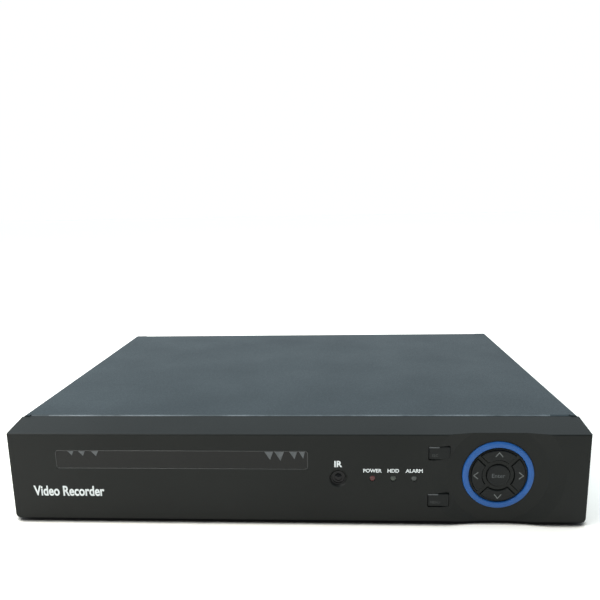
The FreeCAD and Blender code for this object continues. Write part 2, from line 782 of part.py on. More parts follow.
def main_board():
    board = box(board_left, board_right, board_front, board_rear, board_bottom, board_top)
    holes = [rod_z(x, y, clear, 0, 30) for x, y in board_holes]
    save("main_board", board.cut(Part.makeCompound(holes)))
    base = box(38, 74, 150, 186, board_top + 2.0, board_top + 4.5)
    fins = [box(38 + 4.25 * k, 39.4 + 4.25 * k, 150, 186, board_top + 4.3, board_top + 14)
            for k in range(9)]
    save("heat_sink", base.fuse(fins).removeSplitter())
    chips = [box(43, 69, 155, 181, board_top, board_top + 2.0)]
    for x, y, w, d in ((82, 152, 12, 14), (82, 170, 12, 14), (10, 160, 14, 14), (-12, 160, 10, 10),
                       (104, 168, 16, 12), (-40, 158, 14, 10), (-70, 158, 10, 14)):
        chips.append(box(x, x + w, y, y + d, board_top, board_top + 1.3))
    chips.append(box(112, 124, 150, 158, board_top, board_top + 5.5))
    save("board_chips", *chips)
    cans = [(128, 178, 4.0, 9.0), (128, 166, 4.0, 9.0), (118, 190, 3.1, 7.0), (22, 182, 3.1, 7.0),
            (-8, 182, 3.1, 7.0), (100, 152, 4.0, 8.0), (134, 150, 3.1, 7.0)]
    save("board_capacitors", *[rounded(rod_z(x, y, r, board_top, board_top + h), 0.5,
                                       keep=lambda p, t=board_top + h: p.z > t - 0.1)
                               for x, y, r, h in cans])
    holder = tube_z(cell_x, cell_y, 11.6, 10.1, board_top, board_top + 3.4)
    holder = holder.fuse(rod_z(cell_x, cell_y, 11.6, board_top, board_top + 0.8))
    save("cell_holder", holder)
    save("coin_cell", rod_z(cell_x, cell_y, 10.0, board_top + 0.8, board_top + 4.0))
    headers = [socket_block(pad_header_x - 9, pad_header_x + 9, 136.0, 141.0, 6.0),
               socket_block(0.0, 12.0, 142.0, 148.0, 8.0),
               socket_block(-62.0, -44.0, 137.0, 144.0, 8.5),
               socket_block(-88.0, -80.0, 186.0, 191.0, 6.0)]
    save("board_headers", *headers)


def socket_block(x0, x1, y0, y1, height):
    top = board_top + height
    block = box(x0, x1, y0, y1, board_top, top)
    return block.cut(box(x0 + 1.2, x1 - 1.2, y0 + 1.5, y1 - 1.5, board_top + 2, top + 1))


# Rear sockets

def video_jacks():
    blocks = []
    for x in bnc_x:
        block = box(x - 7.3, x + 7.3, 188.0, rear_inside - 0.2, board_top, bnc_z[1] + 7.3)
        blocks.append(rounded(block, 0.6, Vector(0, 1, 0)))
    save("video_jack_blocks", *blocks)
    shells, cores, contacts = [], [], []
    tip = case_depth
    for x in bnc_x:
        for z in bnc_z:
            flange = rod_y(x, z, 6.2, rear_inside - 0.2, tray_rear + 0.9)
            flange = flange.fuse(rod_y(x, z, 5.5, tray_rear, tray_rear + 2.6))
            barrel = rod_y(x, z, bnc_barrel, tray_rear, tip)
            lugs = rod_x(tip - 5.0, z, 1.0, x - 5.7, x + 5.7)
            shell = flange.fuse([barrel, lugs])
            shells.append(shell.cut(rod_y(x, z, 4.1, tray_rear + 1, tip + 1)))
            core = tube_y(x, z, 2.45, 1.15, tray_rear + 1, tip - 1.5)
            foot = rod_y(x, z, 4.1, tray_rear + 1, tray_rear + 2.5)
            cores.append(core.fuse(foot.cut(rod_y(x, z, 1.15, 200, 230))))
            contacts.append(tube_y(x, z, 1.15, 0.6, tray_rear + 1, tip - 2.2))
    save("video_jack_shells", *shells)
    save("video_jack_cores", *cores)
    return contacts


def audio_jacks():
    blocks, shells = [], []
    colours = {"audio_jack_cores_white": rca_z[1], "audio_jack_cores_red": rca_z[0]}
    for x in rca_x:
        block = box(x - 5.4, x + 5.4, 198.0, rear_inside - 0.2, board_top, rca_z[1] + 6.0)
        blocks.append(rounded(block, 0.6, Vector(0, 1, 0)))
        for z in rca_z:
            barrel = rod_y(x, z, rca_barrel, rear_inside - 0.2, tray_rear + 8.5)
            shells.append(barrel.cut(rod_y(x, z, 3.3, rear_inside + 0.5, 230)))
    save("audio_jack_blocks", *blocks)
    save("audio_jack_shells", *shells)
    for name, z in colours.items():
        save(name, *[tube_y(x, z, 3.3, 1.6, rear_inside + 0.5, tray_rear + 7.3) for x in rca_x])


def d_outline(half_top, half_low, half_height, radius, y0, y1):
    """The rounded trapezium of a D connector, centred on the screen socket."""
    low, high = vga_z - half_height, vga_z + half_height
    points = [Vector(vga_x - half_low, y0, low), Vector(vga_x + half_low, y0, low),
              Vector(vga_x + half_top, y0, high), Vector(vga_x - half_top, y0, high)]
    face = Part.Face(Part.makePolygon(points + points[:1]))
    return rounded(face.extrude(Vector(0, y1 - y0, 0)), radius, Vector(0, 1, 0))


def screen_socket():
    """Fifteen-way D socket with its two jack screws."""
    plate = box(vga_x - 15.4, vga_x + 15.4, rear_inside - 0.3, tray_rear + 0.3,
                vga_z - 6.2, vga_z + 6.2)
    shell = plate.fuse(d_outline(8.4, 7.4, 4.1, 1.8, tray_rear, tray_rear + 6.0))
    shell = shell.cut(d_outline(7.9, 6.9, 3.6, 1.5, 200, 230))
    holes = [rod_y(vga_x + s * 12.5, vga_z, 1.7, 200, 230) for s in (-1, 1)]
    save("screen_socket_shell", shell.cut(Part.makeCompound(holes)))
    core = d_outline(7.8, 6.8, 3.5, 1.4, 203.0, tray_rear + 5.6)
    body = box(vga_x - 15.4, vga_x + 15.4, 200.0, rear_inside - 0.3, board_top, vga_z + 6.2)
    pins = []
    for row, z in enumerate((vga_z + 2.0, vga_z, vga_z - 2.0)):
        for k in range(5):
            x = vga_x + (k - 2) * 2.29 + (0.55 if row == 1 else -0.2)
            pins.append(rod_y(x, z, 0.45, tray_rear + 1, 230))
    clear_holes = [rod_y(vga_x + s * 12.5, vga_z, 1.6, 205, 230) for s in (-1, 1)]
    save("screen_socket_core", core.fuse(body).cut(Part.makeCompound(pins + clear_holes)))
    nuts = []
    for s in (-1, 1):
        x = vga_x + s * 12.5
        corners = []
        for k in range(7):
            a = math.radians(60 * k)
            corners.append(Vector(x + 2.75 * math.cos(a), tray_rear + 0.3,
                                  vga_z + 2.75 * math.sin(a)))
        nut = Part.Face(Part.makePolygon(corners)).extrude(Vector(0, 5.0, 0))
        nut = nut.fuse(rod_y(x, vga_z, 1.5, 206.0, tray_rear + 1))
        nuts.append(nut.cut(rod_y(x, vga_z, 1.42, tray_rear + 0.5, 230)))
    save("screen_jack_screws", *nuts)


def frame_socket(x, width, z0, z1, y0, y1, wall, core_half, core_low, core_high, core_end):
    """A metal-shelled socket: a folded shell and the plastic tongue inside it."""
    shell = box(x - width / 2, x + width / 2, y0, y1, z0, z1)
    shell = rounded(shell, 0.6, Vector(0, 1, 0))
    shell = shell.cut(box(x - width / 2 + wall, x + width / 2 - wall, y0 + 3, y1 + 1,
                          z0 + wall, z1 - wall))
    tongue = box(x - core_half, x + core_half, y0 + 3, core_end, core_low, core_high)
    return shell, tongue


def data_sockets():
    y1 = tray_rear + 0.8
    low = board_top
    shell, tongue = frame_socket(hdmi_x, 15.0, low + 0.2, low + 6.0, 200.0, y1, 0.4,
                                 5.5, low + 2.7, low + 3.9, y1 - 1.0)
    shells, tongues = [shell], [tongue]
    for z in (low + 0.4, low + 8.2):
        shell, tongue = frame_socket(usb_x, 13.2, z, z + 7.2, 197.0, y1, 0.4,
                                     5.6, z + 3.8, z + 5.8, y1 - 1.2)
        shells.append(shell)
        tongues.append(tongue)
    save("data_socket_shells", *shells)
    save("data_socket_tongues", *tongues)


def network_socket():
    low = board_top
    y1 = tray_rear + 0.8
    body = box(lan_x - 8.0, lan_x + 8.0, 195.0, y1, low, low + 13.5)
    body = rounded(body, 0.5, Vector(0, 1, 0))
    mouth = box(lan_x - 5.9, lan_x + 5.9, y1 - 12.0, y1 + 1, low + 3.3, low + 11.2)
    latch = box(lan_x - 3.1, lan_x + 3.1, y1 - 9.0, y1 + 1, low + 1.2, low + 3.4)
    save("network_socket", body.cut(mouth.fuse(latch)))


def power_socket():
    low = board_top
    z = low + 6.5
    body = box(power_x - 4.5, power_x + 4.5, 198.0, tray_rear + 0.8, low, low + 11.0)
    body = rounded(body, 0.6, Vector(0, 1, 0))
    collar = rod_y(power_x, z, 4.3, tray_rear, tray_rear + 1.6)
    body = body.fuse(collar).cut(rod_y(power_x, z, 3.1, 203.0, 230))
    pin = rod_y(power_x, z, 1.0, 201.0, tray_rear + 0.6)
    body = body.cut(rod_y(power_x, z, 1.0, 201.0, 204.0))
    save("power_socket", body)
    return pin


# Fan

def fan():
    h = fan_side / 2
    frame = box(fan_x - h, fan_x + h, fan_front, fan_rear, fan_z - h, fan_z + h)
    frame = rounded(frame, 3.0, Vector(0, 1, 0))
    holes = [rod_y(x, z, 1.55, 190, 220) for x, z in fan_corners()]
    frame = frame.cut(Part.makeCompound(holes + [rod_y(fan_x, fan_z, fan_bore, 190, 220)]))
    hub = rod_y(fan_x, fan_z, 9.5, fan_front, fan_front + 1.4)
    arms = []
    for k in range(4):
        bar = box(5, fan_bore + 0.5, fan_front, fan_front + 1.4, -1.2, 1.2)
        bar.rotate(Vector(0, 0, 0), Vector(0, 1, 0), 45 + 90 * k)
        bar.translate(Vector(fan_x, 0, fan_z))
        arms.append(bar)
    coil = rod_y(fan_x, fan_z, 6.8, fan_front, fan_front + 7.0)
    frame = frame.fuse([hub, coil] + arms)
    frame = frame.cut(rod_y(fan_x, fan_z, 1.04, fan_front + 1.0, 230))
    save("fan_frame", frame)
    cup = rod_y(fan_x, fan_z, 9.2, fan_front + 2.2, fan_rear - 0.6)
    cup = rounded(cup, 0.8, keep=lambda p: p.y > fan_rear - 1)
    cup = cup.cut(rod_y(fan_x, fan_z, 7.6, 190, fan_rear - 2.0))
    pin = rod_y(fan_x, fan_z, 1.0, fan_front + 1.4, fan_rear - 1)
    blades = []
    for k in range(fan_blades):
        blade = box(8.8, 18.2, -0.5, 0.5, -3.6, 3.6)
        blade.rotate(Vector(0, 0, 0), Vector(1, 0, 0), -50)
        blade.translate(Vector(0, (fan_front + fan_rear) / 2 + 0.9, 0))
        blade.rotate(Vector(0, 0, 0), Vector(0, 1, 0), 360 / fan_blades * k)
        blade.translate(Vector(fan_x, 0, fan_z))
        blades.append(blade)
    sweep = rod_y(fan_x, fan_z, 18.2, fan_front + 1.9, fan_rear - 0.5)
    save("fan_rotor", cup.fuse([pin] + [b.common(sweep) for b in blades]))


def main():
    os.makedirs("parts", exist_ok=True)
    front_bezel()
    slot_window()
    light_ring()
    ir_window()
    indicator_lights()
    keys()
    switch_housings()
    keypad_board()
    keypad_components()
    top_cover()
    chassis_tray()
    feet()
    screws()
    hard_drive()
    main_board()
    contacts = video_jacks()
    audio_jacks()
    screen_socket()
    data_sockets()
    network_socket()
    contacts.append(power_socket())
    save("socket_contacts", *contacts)
    fan()


main()
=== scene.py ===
import json
import math
import random

import bmesh
import bpy
from mathutils import Matrix, Vector


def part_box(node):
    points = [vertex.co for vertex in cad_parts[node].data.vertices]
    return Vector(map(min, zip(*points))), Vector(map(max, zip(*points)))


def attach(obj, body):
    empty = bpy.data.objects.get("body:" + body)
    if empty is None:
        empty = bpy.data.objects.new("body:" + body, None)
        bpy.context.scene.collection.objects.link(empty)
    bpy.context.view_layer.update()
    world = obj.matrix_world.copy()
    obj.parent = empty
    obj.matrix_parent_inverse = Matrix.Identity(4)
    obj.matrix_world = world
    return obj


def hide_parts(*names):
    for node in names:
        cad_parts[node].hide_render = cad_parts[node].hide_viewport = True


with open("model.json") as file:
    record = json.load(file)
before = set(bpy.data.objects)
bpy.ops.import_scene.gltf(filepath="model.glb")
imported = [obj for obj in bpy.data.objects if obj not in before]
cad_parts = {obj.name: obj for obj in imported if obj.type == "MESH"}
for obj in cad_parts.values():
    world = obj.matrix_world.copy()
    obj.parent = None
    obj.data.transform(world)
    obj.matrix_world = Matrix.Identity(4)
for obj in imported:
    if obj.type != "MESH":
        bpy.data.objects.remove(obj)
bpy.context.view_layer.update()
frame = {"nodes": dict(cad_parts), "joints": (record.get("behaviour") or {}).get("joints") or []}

nodes = frame["nodes"]
mm = 0.001
print("recorder: frame loaded,", len(nodes), "nodes")


# places, read from the frame

def middle(node):
    low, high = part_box(node)
    return (low + high) / 2


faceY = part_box("front_bezel")[0].y
padAt = middle("light_ring")
windowLow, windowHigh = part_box("slot_window")
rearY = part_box("chassis_tray")[1].y


# materials

def tone(red, green, blue):
    # screen values 0 to 255, as the linear colour a shader wants
    def lin(value):
        value = value / 255
        return value / 12.92 if value <= 0.04045 else ((value + 0.055) / 1.055) ** 2.4
    return (lin(red), lin(green), lin(blue), 1.0)


def link(tree, source, target):
    tree.links.new(source, target)


def mathNode(tree, kind, first, second=0.0, clamp=False):
    node = tree.nodes.new("ShaderNodeMath")
    node.operation = kind
    node.use_clamp = clamp
    for socket, value in zip(node.inputs, (first, second)):
        if isinstance(value, (int, float)):
            socket.default_value = value
        else:
            link(tree, value, socket)
    return node.outputs[0]


def mixColor(tree, factor, first, second):
    node = tree.nodes.new("ShaderNodeMix")
    node.data_type = "RGBA"
    for name, value in (("Factor_Float", factor), ("A_Color", first), ("B_Color", second)):
        socket = next(s for s in node.inputs if s.identifier == name)
        if isinstance(value, (int, float, tuple)):
            socket.default_value = value
        else:
            link(tree, value, socket)
    return next(s for s in node.outputs if s.identifier == "Result_Color")


def remap(tree, value, fromLow, fromHigh, low=0.0, high=1.0):
    node = tree.nodes.new("ShaderNodeMapRange")
    node.inputs["From Min"].default_value = fromLow
    node.inputs["From Max"].default_value = fromHigh
    node.inputs["To Min"].default_value = low
    node.inputs["To Max"].default_value = high
    link(tree, value, node.inputs["Value"])
    return node.outputs["Result"]


def spread(tree, value, low, high):
    # noise keeps mostly to its middle, from 0.3 to 0.7, which this stretches over low to high
    return remap(tree, value, 0.3, 0.7, low, high)


def noise(tree, points, size, detail=2.0, stretch=(1, 1, 1)):
    # size is the width of one grain in millimetres
    mapping = tree.nodes.new("ShaderNodeMapping")
    mapping.inputs["Scale"].default_value = [s / (size * mm) for s in stretch]
    link(tree, points, mapping.inputs["Vector"])
    node = tree.nodes.new("ShaderNodeTexNoise")
    node.inputs["Scale"].default_value = 1.0
    node.inputs["Detail"].default_value = detail
    link(tree, mapping.outputs["Vector"], node.inputs["Vector"])
    return node.outputs["Fac"]


def newMaterial(name):
    material = bpy.data.materials.new(name)
    material.use_nodes = True
    tree = material.node_tree
    tree.nodes.clear()
    output = tree.nodes.new("ShaderNodeOutputMaterial")
    shader = tree.nodes.new("ShaderNodeBsdfPrincipled")
    link(tree, shader.outputs["BSDF"], output.inputs["Surface"])
    return material, tree, shader


# what a finish below has, unless it says otherwise
plainFinish = dict(stretch=(1, 1, 1), fleck=0.3, roughGrain=0.03, wearGain=3.0, wearLeast=0.35,
                   metal=0.0, specular=0.5, brushed=0.0)


def finish(name, look):
    # blotches, grain, rounded edges and wear, for every finish of the recorder but the boards'
    look = plainFinish | look
    material, tree, shader = newMaterial(name)
    points = tree.nodes.new("ShaderNodeTexCoord").outputs["Object"]
    blotch = noise(tree, points, look["blotch"], 3.0, look["stretch"])
    grain = noise(tree, points, look["grain"], 2.0, look["stretch"])
    base = mixColor(tree, spread(tree, blotch, 0, 1), look["color"], look["shade"])
    base = mixColor(tree, spread(tree, grain, 0, look["fleck"]), base,
                    look.get("fleckColor", look["shade"]))
    rough = mathNode(tree, "ADD", spread(tree, blotch, *look["rough"]),
                     spread(tree, grain, -look["roughGrain"], look["roughGrain"]), clamp=True)
    rounded = tree.nodes.new("ShaderNodeBevel")
    rounded.samples = 6
    rounded.inputs["Radius"].default_value = look["edge"] * mm
    if "wear" in look:
        flat = tree.nodes.new("ShaderNodeNewGeometry").outputs["Normal"]
        compare = tree.nodes.new("ShaderNodeVectorMath")
        compare.operation = "DOT_PRODUCT"
        link(tree, rounded.outputs["Normal"], compare.inputs[0])
        link(tree, flat, compare.inputs[1])
        worn = mathNode(tree, "SUBTRACT", 1.0, compare.outputs["Value"], clamp=True)
        worn = mathNode(tree, "MULTIPLY", worn, look["wearGain"], clamp=True)
        patchy = spread(tree, blotch, look["wearLeast"], 1.0)
        worn = mathNode(tree, "MULTIPLY", worn, patchy, clamp=True)
        base = mixColor(tree, worn, base, look["wear"])
    bump = tree.nodes.new("ShaderNodeBump")
    bump.inputs["Distance"].default_value = look["depth"] * mm
    link(tree, grain, bump.inputs["Height"])
    link(tree, rounded.outputs["Normal"], bump.inputs["Normal"])
    link(tree, base, shader.inputs["Base Color"])
    link(tree, rough, shader.inputs["Roughness"])
    link(tree, bump.outputs["Normal"], shader.inputs["Normal"])
    shader.inputs["Metallic"].default_value = look["metal"]
    shader.inputs["Specular IOR Level"].default_value = look["specular"]
    shader.inputs["Anisotropic"].default_value = look["brushed"]
    return material


plasticLooks = {
    "bezelBlack": dict(color=tone(20, 22, 20), shade=tone(17, 19, 17), blotch=60, grain=0.35,
                       fleck=0.25, depth=0.012, rough=(0.4, 0.46), roughGrain=0.05, edge=0.25,
                       wear=tone(38, 41, 41), wearGain=1.2, specular=0.19),
    "keyBlack": dict(color=tone(16, 19, 18), shade=tone(14, 16, 16), blotch=12, grain=0.25,
                     depth=0.008, rough=(0.42, 0.5), edge=0.2, wear=tone(46, 49, 49),
                     wearGain=1.6, specular=0.2),
    "windowSmoke": dict(color=tone(17, 17, 16), shade=tone(14, 14, 13), blotch=40, grain=0.5,
                        fleck=0.1, depth=0.002, rough=(0.16, 0.22), roughGrain=0.01, edge=0.2,
                        specular=0.22),
    # the window rim's lighter colour is a painted highlight where the window's edge would catch
    # the light
    "paintedRimHighlight": dict(color=tone(50, 51, 50), shade=tone(42, 43, 42), blotch=14, grain=0.4,
                     fleck=0.2, depth=0.002, rough=(0.2, 0.28), edge=0.05, specular=0.4),
    "irBlack": dict(color=tone(15, 14, 15), shade=tone(10, 9, 10), blotch=4, grain=0.4,
                    depth=0.002, rough=(0.2, 0.26), roughGrain=0.01, edge=0.1, specular=0.22),
    "ringBlue": dict(color=tone(28, 84, 152), shade=tone(24, 76, 138), blotch=9, grain=0.3,
                     fleck=0.15, fleckColor=tone(46, 100, 166), depth=0.004,
                     rough=(0.3, 0.38), roughGrain=0.03, edge=0.2, specular=0.3),
    "lightRed": dict(color=tone(92, 24, 23), shade=tone(66, 16, 16), blotch=2, grain=0.2,
                     depth=0.003, rough=(0.22, 0.3), edge=0.1),
    "lightGreen": dict(color=tone(62, 70, 60), shade=tone(45, 51, 44), blotch=2, grain=0.2,
                       depth=0.003, rough=(0.22, 0.3), edge=0.1),
    "lightGrey": dict(color=tone(60, 64, 62), shade=tone(45, 48, 47), blotch=2, grain=0.2,
                      depth=0.003, rough=(0.22, 0.3), edge=0.1),
    "printWhite": dict(color=tone(226, 230, 230), shade=tone(206, 210, 210), blotch=3,
                       grain=0.12, fleck=0.3, depth=0.003, rough=(0.5, 0.6), edge=0.02),
    "printGrey": dict(color=tone(110, 113, 111), shade=tone(90, 93, 92), blotch=3,
                      grain=0.12, fleck=0.3, depth=0.003, rough=(0.5, 0.6), edge=0.02),
    "printDim": dict(color=tone(84, 87, 89), shade=tone(70, 73, 75), blotch=3,
                     grain=0.12, fleck=0.3, depth=0.003, rough=(0.5, 0.6), edge=0.02),
    "printFaint": dict(color=tone(54, 56, 56), shade=tone(44, 46, 46), blotch=3,
                       grain=0.12, fleck=0.3, depth=0.003, rough=(0.5, 0.6), edge=0.02),
    "blackNylon": dict(color=tone(32, 32, 33), shade=tone(24, 24, 25), blotch=15, grain=0.3,
                       depth=0.01, rough=(0.45, 0.55), edge=0.2, wear=tone(58, 58, 60)),
    "whiteNylon": dict(color=tone(222, 219, 208), shade=tone(206, 202, 190), blotch=6, grain=0.3,
                       depth=0.006, rough=(0.4, 0.5), edge=0.15),
    "redNylon": dict(color=tone(168, 26, 24), shade=tone(142, 18, 18), blotch=6, grain=0.3,
                     depth=0.006, rough=(0.4, 0.5), edge=0.15),
    "blueNylon": dict(color=tone(30, 62, 150), shade=tone(24, 50, 126), blotch=6, grain=0.3,
                      depth=0.006, rough=(0.4, 0.5), edge=0.15),
    "creamNylon": dict(color=tone(216, 210, 190), shade=tone(198, 190, 168), blotch=6, grain=0.3,
                       depth=0.006, rough=(0.4, 0.5), edge=0.15),
    "chipBlack": dict(color=tone(38, 38, 40), shade=tone(30, 30, 32), blotch=5, grain=0.15,
                      depth=0.006, rough=(0.5, 0.6), edge=0.1),
    "sleeveBlack": dict(color=tone(28, 28, 40), shade=tone(20, 20, 30), blotch=4, grain=0.3,
                        depth=0.003, rough=(0.2, 0.28), edge=0.2),
    "labelSilver": dict(color=tone(205, 206, 208), shade=tone(190, 191, 194), blotch=12,
                        grain=0.2, fleck=0.15, depth=0.002, rough=(0.35, 0.42), edge=0.05),
    "footRubber": dict(color=tone(30, 30, 30), shade=tone(22, 22, 22), blotch=6, grain=0.4,
                       fleckColor=tone(58, 56, 54), fleck=0.35, depth=0.03, rough=(0.7, 0.85),
                       edge=0.4),
}
metalLooks = {
    "coverPaint": dict(color=tone(38, 49, 54), shade=tone(35, 45, 50), blotch=45, grain=0.55,
                       fleckColor=tone(26, 34, 38), fleck=0.4, depth=0.02, rough=(0.5, 0.56),
                       roughGrain=0.06, edge=0.35, wear=tone(88, 96, 99), wearGain=0.9,
                       specular=0.24),
    # the next two colours are painted highlights for the cover's front bend, lighter than its
    # paint, the second a fainter one for the bend's ends
    "paintedBendHighlight": dict(color=tone(112, 120, 125), shade=tone(52, 61, 65), blotch=5, grain=0.4,
                     fleckColor=tone(44, 52, 56), fleck=0.5, stretch=(0.35, 1, 1), depth=0.006,
                     rough=(0.4, 0.5), edge=0.05, specular=0.4),
    "paintedFaintHighlight": dict(color=tone(50, 60, 65), shade=tone(40, 50, 54), blotch=5, grain=0.4,
                     fleckColor=tone(44, 52, 56), fleck=0.4, stretch=(0.35, 1, 1), depth=0.006,
                     rough=(0.45, 0.55), edge=0.05, specular=0.3),
    "trayPaint": dict(color=tone(58, 60, 63), shade=tone(50, 52, 55), blotch=40, grain=0.5,
                      fleckColor=tone(38, 40, 43), fleck=0.4, depth=0.02, rough=(0.5, 0.58),
                      roughGrain=0.06, edge=0.3, wear=tone(120, 122, 124), wearGain=1.0,
                      specular=0.4),
    "blackZinc": dict(color=tone(60, 60, 62), shade=tone(40, 40, 43), blotch=3, grain=0.3,
                      depth=0.006, rough=(0.3, 0.42), metal=0.9, edge=0.15,
                      wear=tone(170, 170, 172), wearGain=2.0),
    "brightZinc": dict(color=tone(196, 198, 200), shade=tone(168, 170, 176), blotch=3,
                       grain=0.3, depth=0.006, rough=(0.25, 0.38), metal=1.0, edge=0.15),
    "nickel": dict(color=tone(206, 202, 192), shade=tone(182, 178, 168), blotch=5, grain=0.4,
                   fleckColor=tone(150, 146, 138), fleck=0.25, depth=0.004,
                   rough=(0.16, 0.28), metal=1.0, edge=0.15),
    "goldPlate": dict(color=tone(232, 190, 96), shade=tone(210, 162, 74), blotch=3, grain=0.3,
                      depth=0.003, rough=(0.16, 0.26), metal=1.0, edge=0.1),
    "castAluminium": dict(color=tone(96, 97, 100), shade=tone(78, 79, 82), blotch=10, grain=0.5,
                          depth=0.025, rough=(0.42, 0.55), metal=0.7, edge=0.3,
                          wear=tone(190, 191, 193), wearGain=1.4),
    "brushedSteel": dict(color=tone(196, 197, 199), shade=tone(176, 177, 180), blotch=8,
                         grain=0.2, stretch=(0.05, 1, 1), depth=0.004, rough=(0.28, 0.4),
                         metal=1.0, brushed=0.6, edge=0.2),
    "polishedDisc": dict(color=tone(226, 227, 229), shade=tone(218, 219, 222), blotch=30,
                         grain=0.5, fleck=0.05, depth=0.0005, rough=(0.03, 0.06),
                         roughGrain=0.005, metal=1.0, edge=0.1),
    "finAluminium": dict(color=tone(150, 152, 156), shade=tone(132, 134, 138), blotch=8,
                         grain=0.25, stretch=(1, 0.05, 1), depth=0.006, rough=(0.32, 0.45),
                         metal=1.0, brushed=0.4, edge=0.15),
}
materials = {name: finish(name, look) for name, look in (plasticLooks | metalLooks).items()}


boardLook = dict(mask=tone(20, 82, 50), track=tone(36, 112, 66), fleckColor=tone(14, 60, 38),
                 pitch=2.2, trackHalf=0.06, grain=0.4, fleck=0.25, raised=0.03,
                 rough=(0.28, 0.36), coat=0.2)


def boardGreen():
    # solder mask over a maze of fine copper tracks
    look = boardLook
    material, tree, shader = newMaterial("boardGreen")
    points = tree.nodes.new("ShaderNodeTexCoord").outputs["Object"]
    mapping = tree.nodes.new("ShaderNodeMapping")
    mapping.inputs["Scale"].default_value = [1 / (look["pitch"] * mm)] * 3
    link(tree, points, mapping.inputs["Vector"])
    cells = tree.nodes.new("ShaderNodeTexVoronoi")
    cells.distance = "MANHATTAN"
    cells.feature = "DISTANCE_TO_EDGE"
    link(tree, mapping.outputs["Vector"], cells.inputs["Vector"])
    track = mathNode(tree, "LESS_THAN", cells.outputs["Distance"], look["trackHalf"])
    grain = noise(tree, points, look["grain"])
    base = mixColor(tree, track, look["mask"], look["track"])
    base = mixColor(tree, spread(tree, grain, 0, look["fleck"]), base, look["fleckColor"])
    bump = tree.nodes.new("ShaderNodeBump")
    bump.inputs["Distance"].default_value = look["raised"] * mm
    link(tree, track, bump.inputs["Height"])
    link(tree, base, shader.inputs["Base Color"])
    link(tree, spread(tree, grain, *look["rough"]), shader.inputs["Roughness"])
    link(tree, bump.outputs["Normal"], shader.inputs["Normal"])
    shader.inputs["Coat Weight"].default_value = look["coat"]
    return material


materials["boardGreen"] = boardGreen()
print("recorder:", len(materials), "finishes mixed")


def dress(material, *names):
    for name in names:
        slots = nodes[name].data.materials
        slots.clear()
        slots.append(materials[material])


dress("bezelBlack", "front_bezel")
dress("windowSmoke", "slot_window")
dress("keyBlack", "up_key", "down_key", "left_key", "right_key", "enter_key", "menu_key",
      "escape_key")
dress("coverPaint", "top_cover")
dress("trayPaint", "chassis_tray")
dress("footRubber", "foot_front_left", "foot_front_right", "foot_rear_left", "foot_rear_right")
dress("blackZinc", "cover_screws", "fan_screws")
dress("brightZinc", "board_screws", "bezel_screws", "drive_screws")
dress("castAluminium", "drive_base")
dress("brushedSteel", "drive_lid", "coin_cell", "drive_arm")
dress("polishedDisc", "drive_platter")
dress("boardGreen", "keypad_board", "main_board", "drive_board")
dress("finAluminium", "heat_sink")
dress("chipBlack", "board_chips", "keypad_components")
dress("sleeveBlack", "board_capacitors")
dress("creamNylon", "board_headers")
dress("blackNylon", "switch_housings", "cell_holder", "video_jack_blocks", "audio_jack_blocks",
      "network_socket", "power_socket", "data_socket_tongues", "drive_connector", "fan_frame",
      "fan_rotor")
dress("whiteNylon", "video_jack_cores", "audio_jack_cores_white")
dress("redNylon", "audio_jack_cores_red")
dress("blueNylon", "screen_socket_core")
dress("nickel", "video_jack_shells", "audio_jack_shells", "screen_socket_shell",
      "screen_jack_screws", "data_socket_shells")
dress("goldPlate", "socket_contacts")
dress("ringBlue", "light_ring")
dress("irBlack", "ir_window")
dress("lightRed", "power_light")
dress("lightGreen", "drive_light")
dress("lightGrey", "alarm_light")
print("recorder: frame pieces dressed")


# mesh helpers

def addObject(name, data):
    holder = bpy.data.objects.new(name, data)
    bpy.context.scene.collection.objects.link(holder)
    return holder


def addPiece(name, mesh, material, body, smoothAngle=35):
    mesh.shade_smooth()
    mesh.set_sharp_from_angle(angle=math.radians(smoothAngle))
    mesh.materials.clear()
    mesh.materials.append(materials[material])
    piece = addObject(name, mesh)
    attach(piece, body)
    return piece


def fromBmesh(name, bm):
    bmesh.ops.recalc_face_normals(bm, faces=bm.faces)
    mesh = bpy.data.meshes.new(name)
    bm.to_mesh(mesh)
    bm.free()
    return mesh


def lathe(name, profile, centre, segments=64, closed=False):
    # profile is (radius, depth) in millimetres, turned about a line along Y through centre
    bm = bmesh.new()
    rings = []
    for radius, depth in profile:
        y = centre.y + depth * mm
        if radius == 0:
            rings.append([bm.verts.new((centre.x, y, centre.z))])
            continue
        ring = []
        for k in range(segments):
            a = 2 * math.pi * k / segments
            ring.append(bm.verts.new((centre.x + radius * mm * math.cos(a), y,
                                      centre.z + radius * mm * math.sin(a))))
        rings.append(ring)
    pairs = list(zip(rings, rings[1:]))
    if closed:
        pairs.append((rings[-1], rings[0]))
    for first, second in pairs:
        for k in range(segments):
            n = (k + 1) % segments
            corners = [first[k % len(first)], first[n % len(first)],
                       second[n % len(second)], second[k % len(second)]]
            corners = list(dict.fromkeys(corners))
            if len(corners) > 2:
                bm.faces.new(corners)
    return fromBmesh(name, bm)


def arc(centreRadius, centreDepth, radius, start, end, steps):
    # profile points on a quarter or half circle, angles in degrees from outward to rearward
    points = []
    for k in range(steps + 1):
        a = math.radians(start + (end - start) * k / steps)
        points.append((centreRadius + radius * math.cos(a), centreDepth + radius * math.sin(a)))
    return points


def solidBoxes(node):
    # the box of each separate solid in a node, left to right
    perMetre = 200000   # corners closer than 0.005 mm count as one
    mesh = nodes[node].data
    group = list(range(len(mesh.vertices)))
    spots = {}
    for vertex in mesh.vertices:
        key = tuple(round(c * perMetre) for c in vertex.co)
        group[vertex.index] = spots.setdefault(key, vertex.index)

    def root(k):
        while group[k] != k:
            group[k] = group[group[k]]
            k = group[k]
        return k

    for edge in mesh.edges:
        a, b = (root(k) for k in edge.vertices)
        if a != b:
            group[a] = b
    boxes = {}
    for vertex in mesh.vertices:
        low, high = boxes.setdefault(root(vertex.index), (vertex.co.copy(), vertex.co.copy()))
        for k in range(3):
            low[k] = min(low[k], vertex.co[k])
            high[k] = max(high[k], vertex.co[k])
    return sorted(boxes.values(), key=lambda b: (round(b[0].x, 4), round(b[0].z, 4), b[0].y))


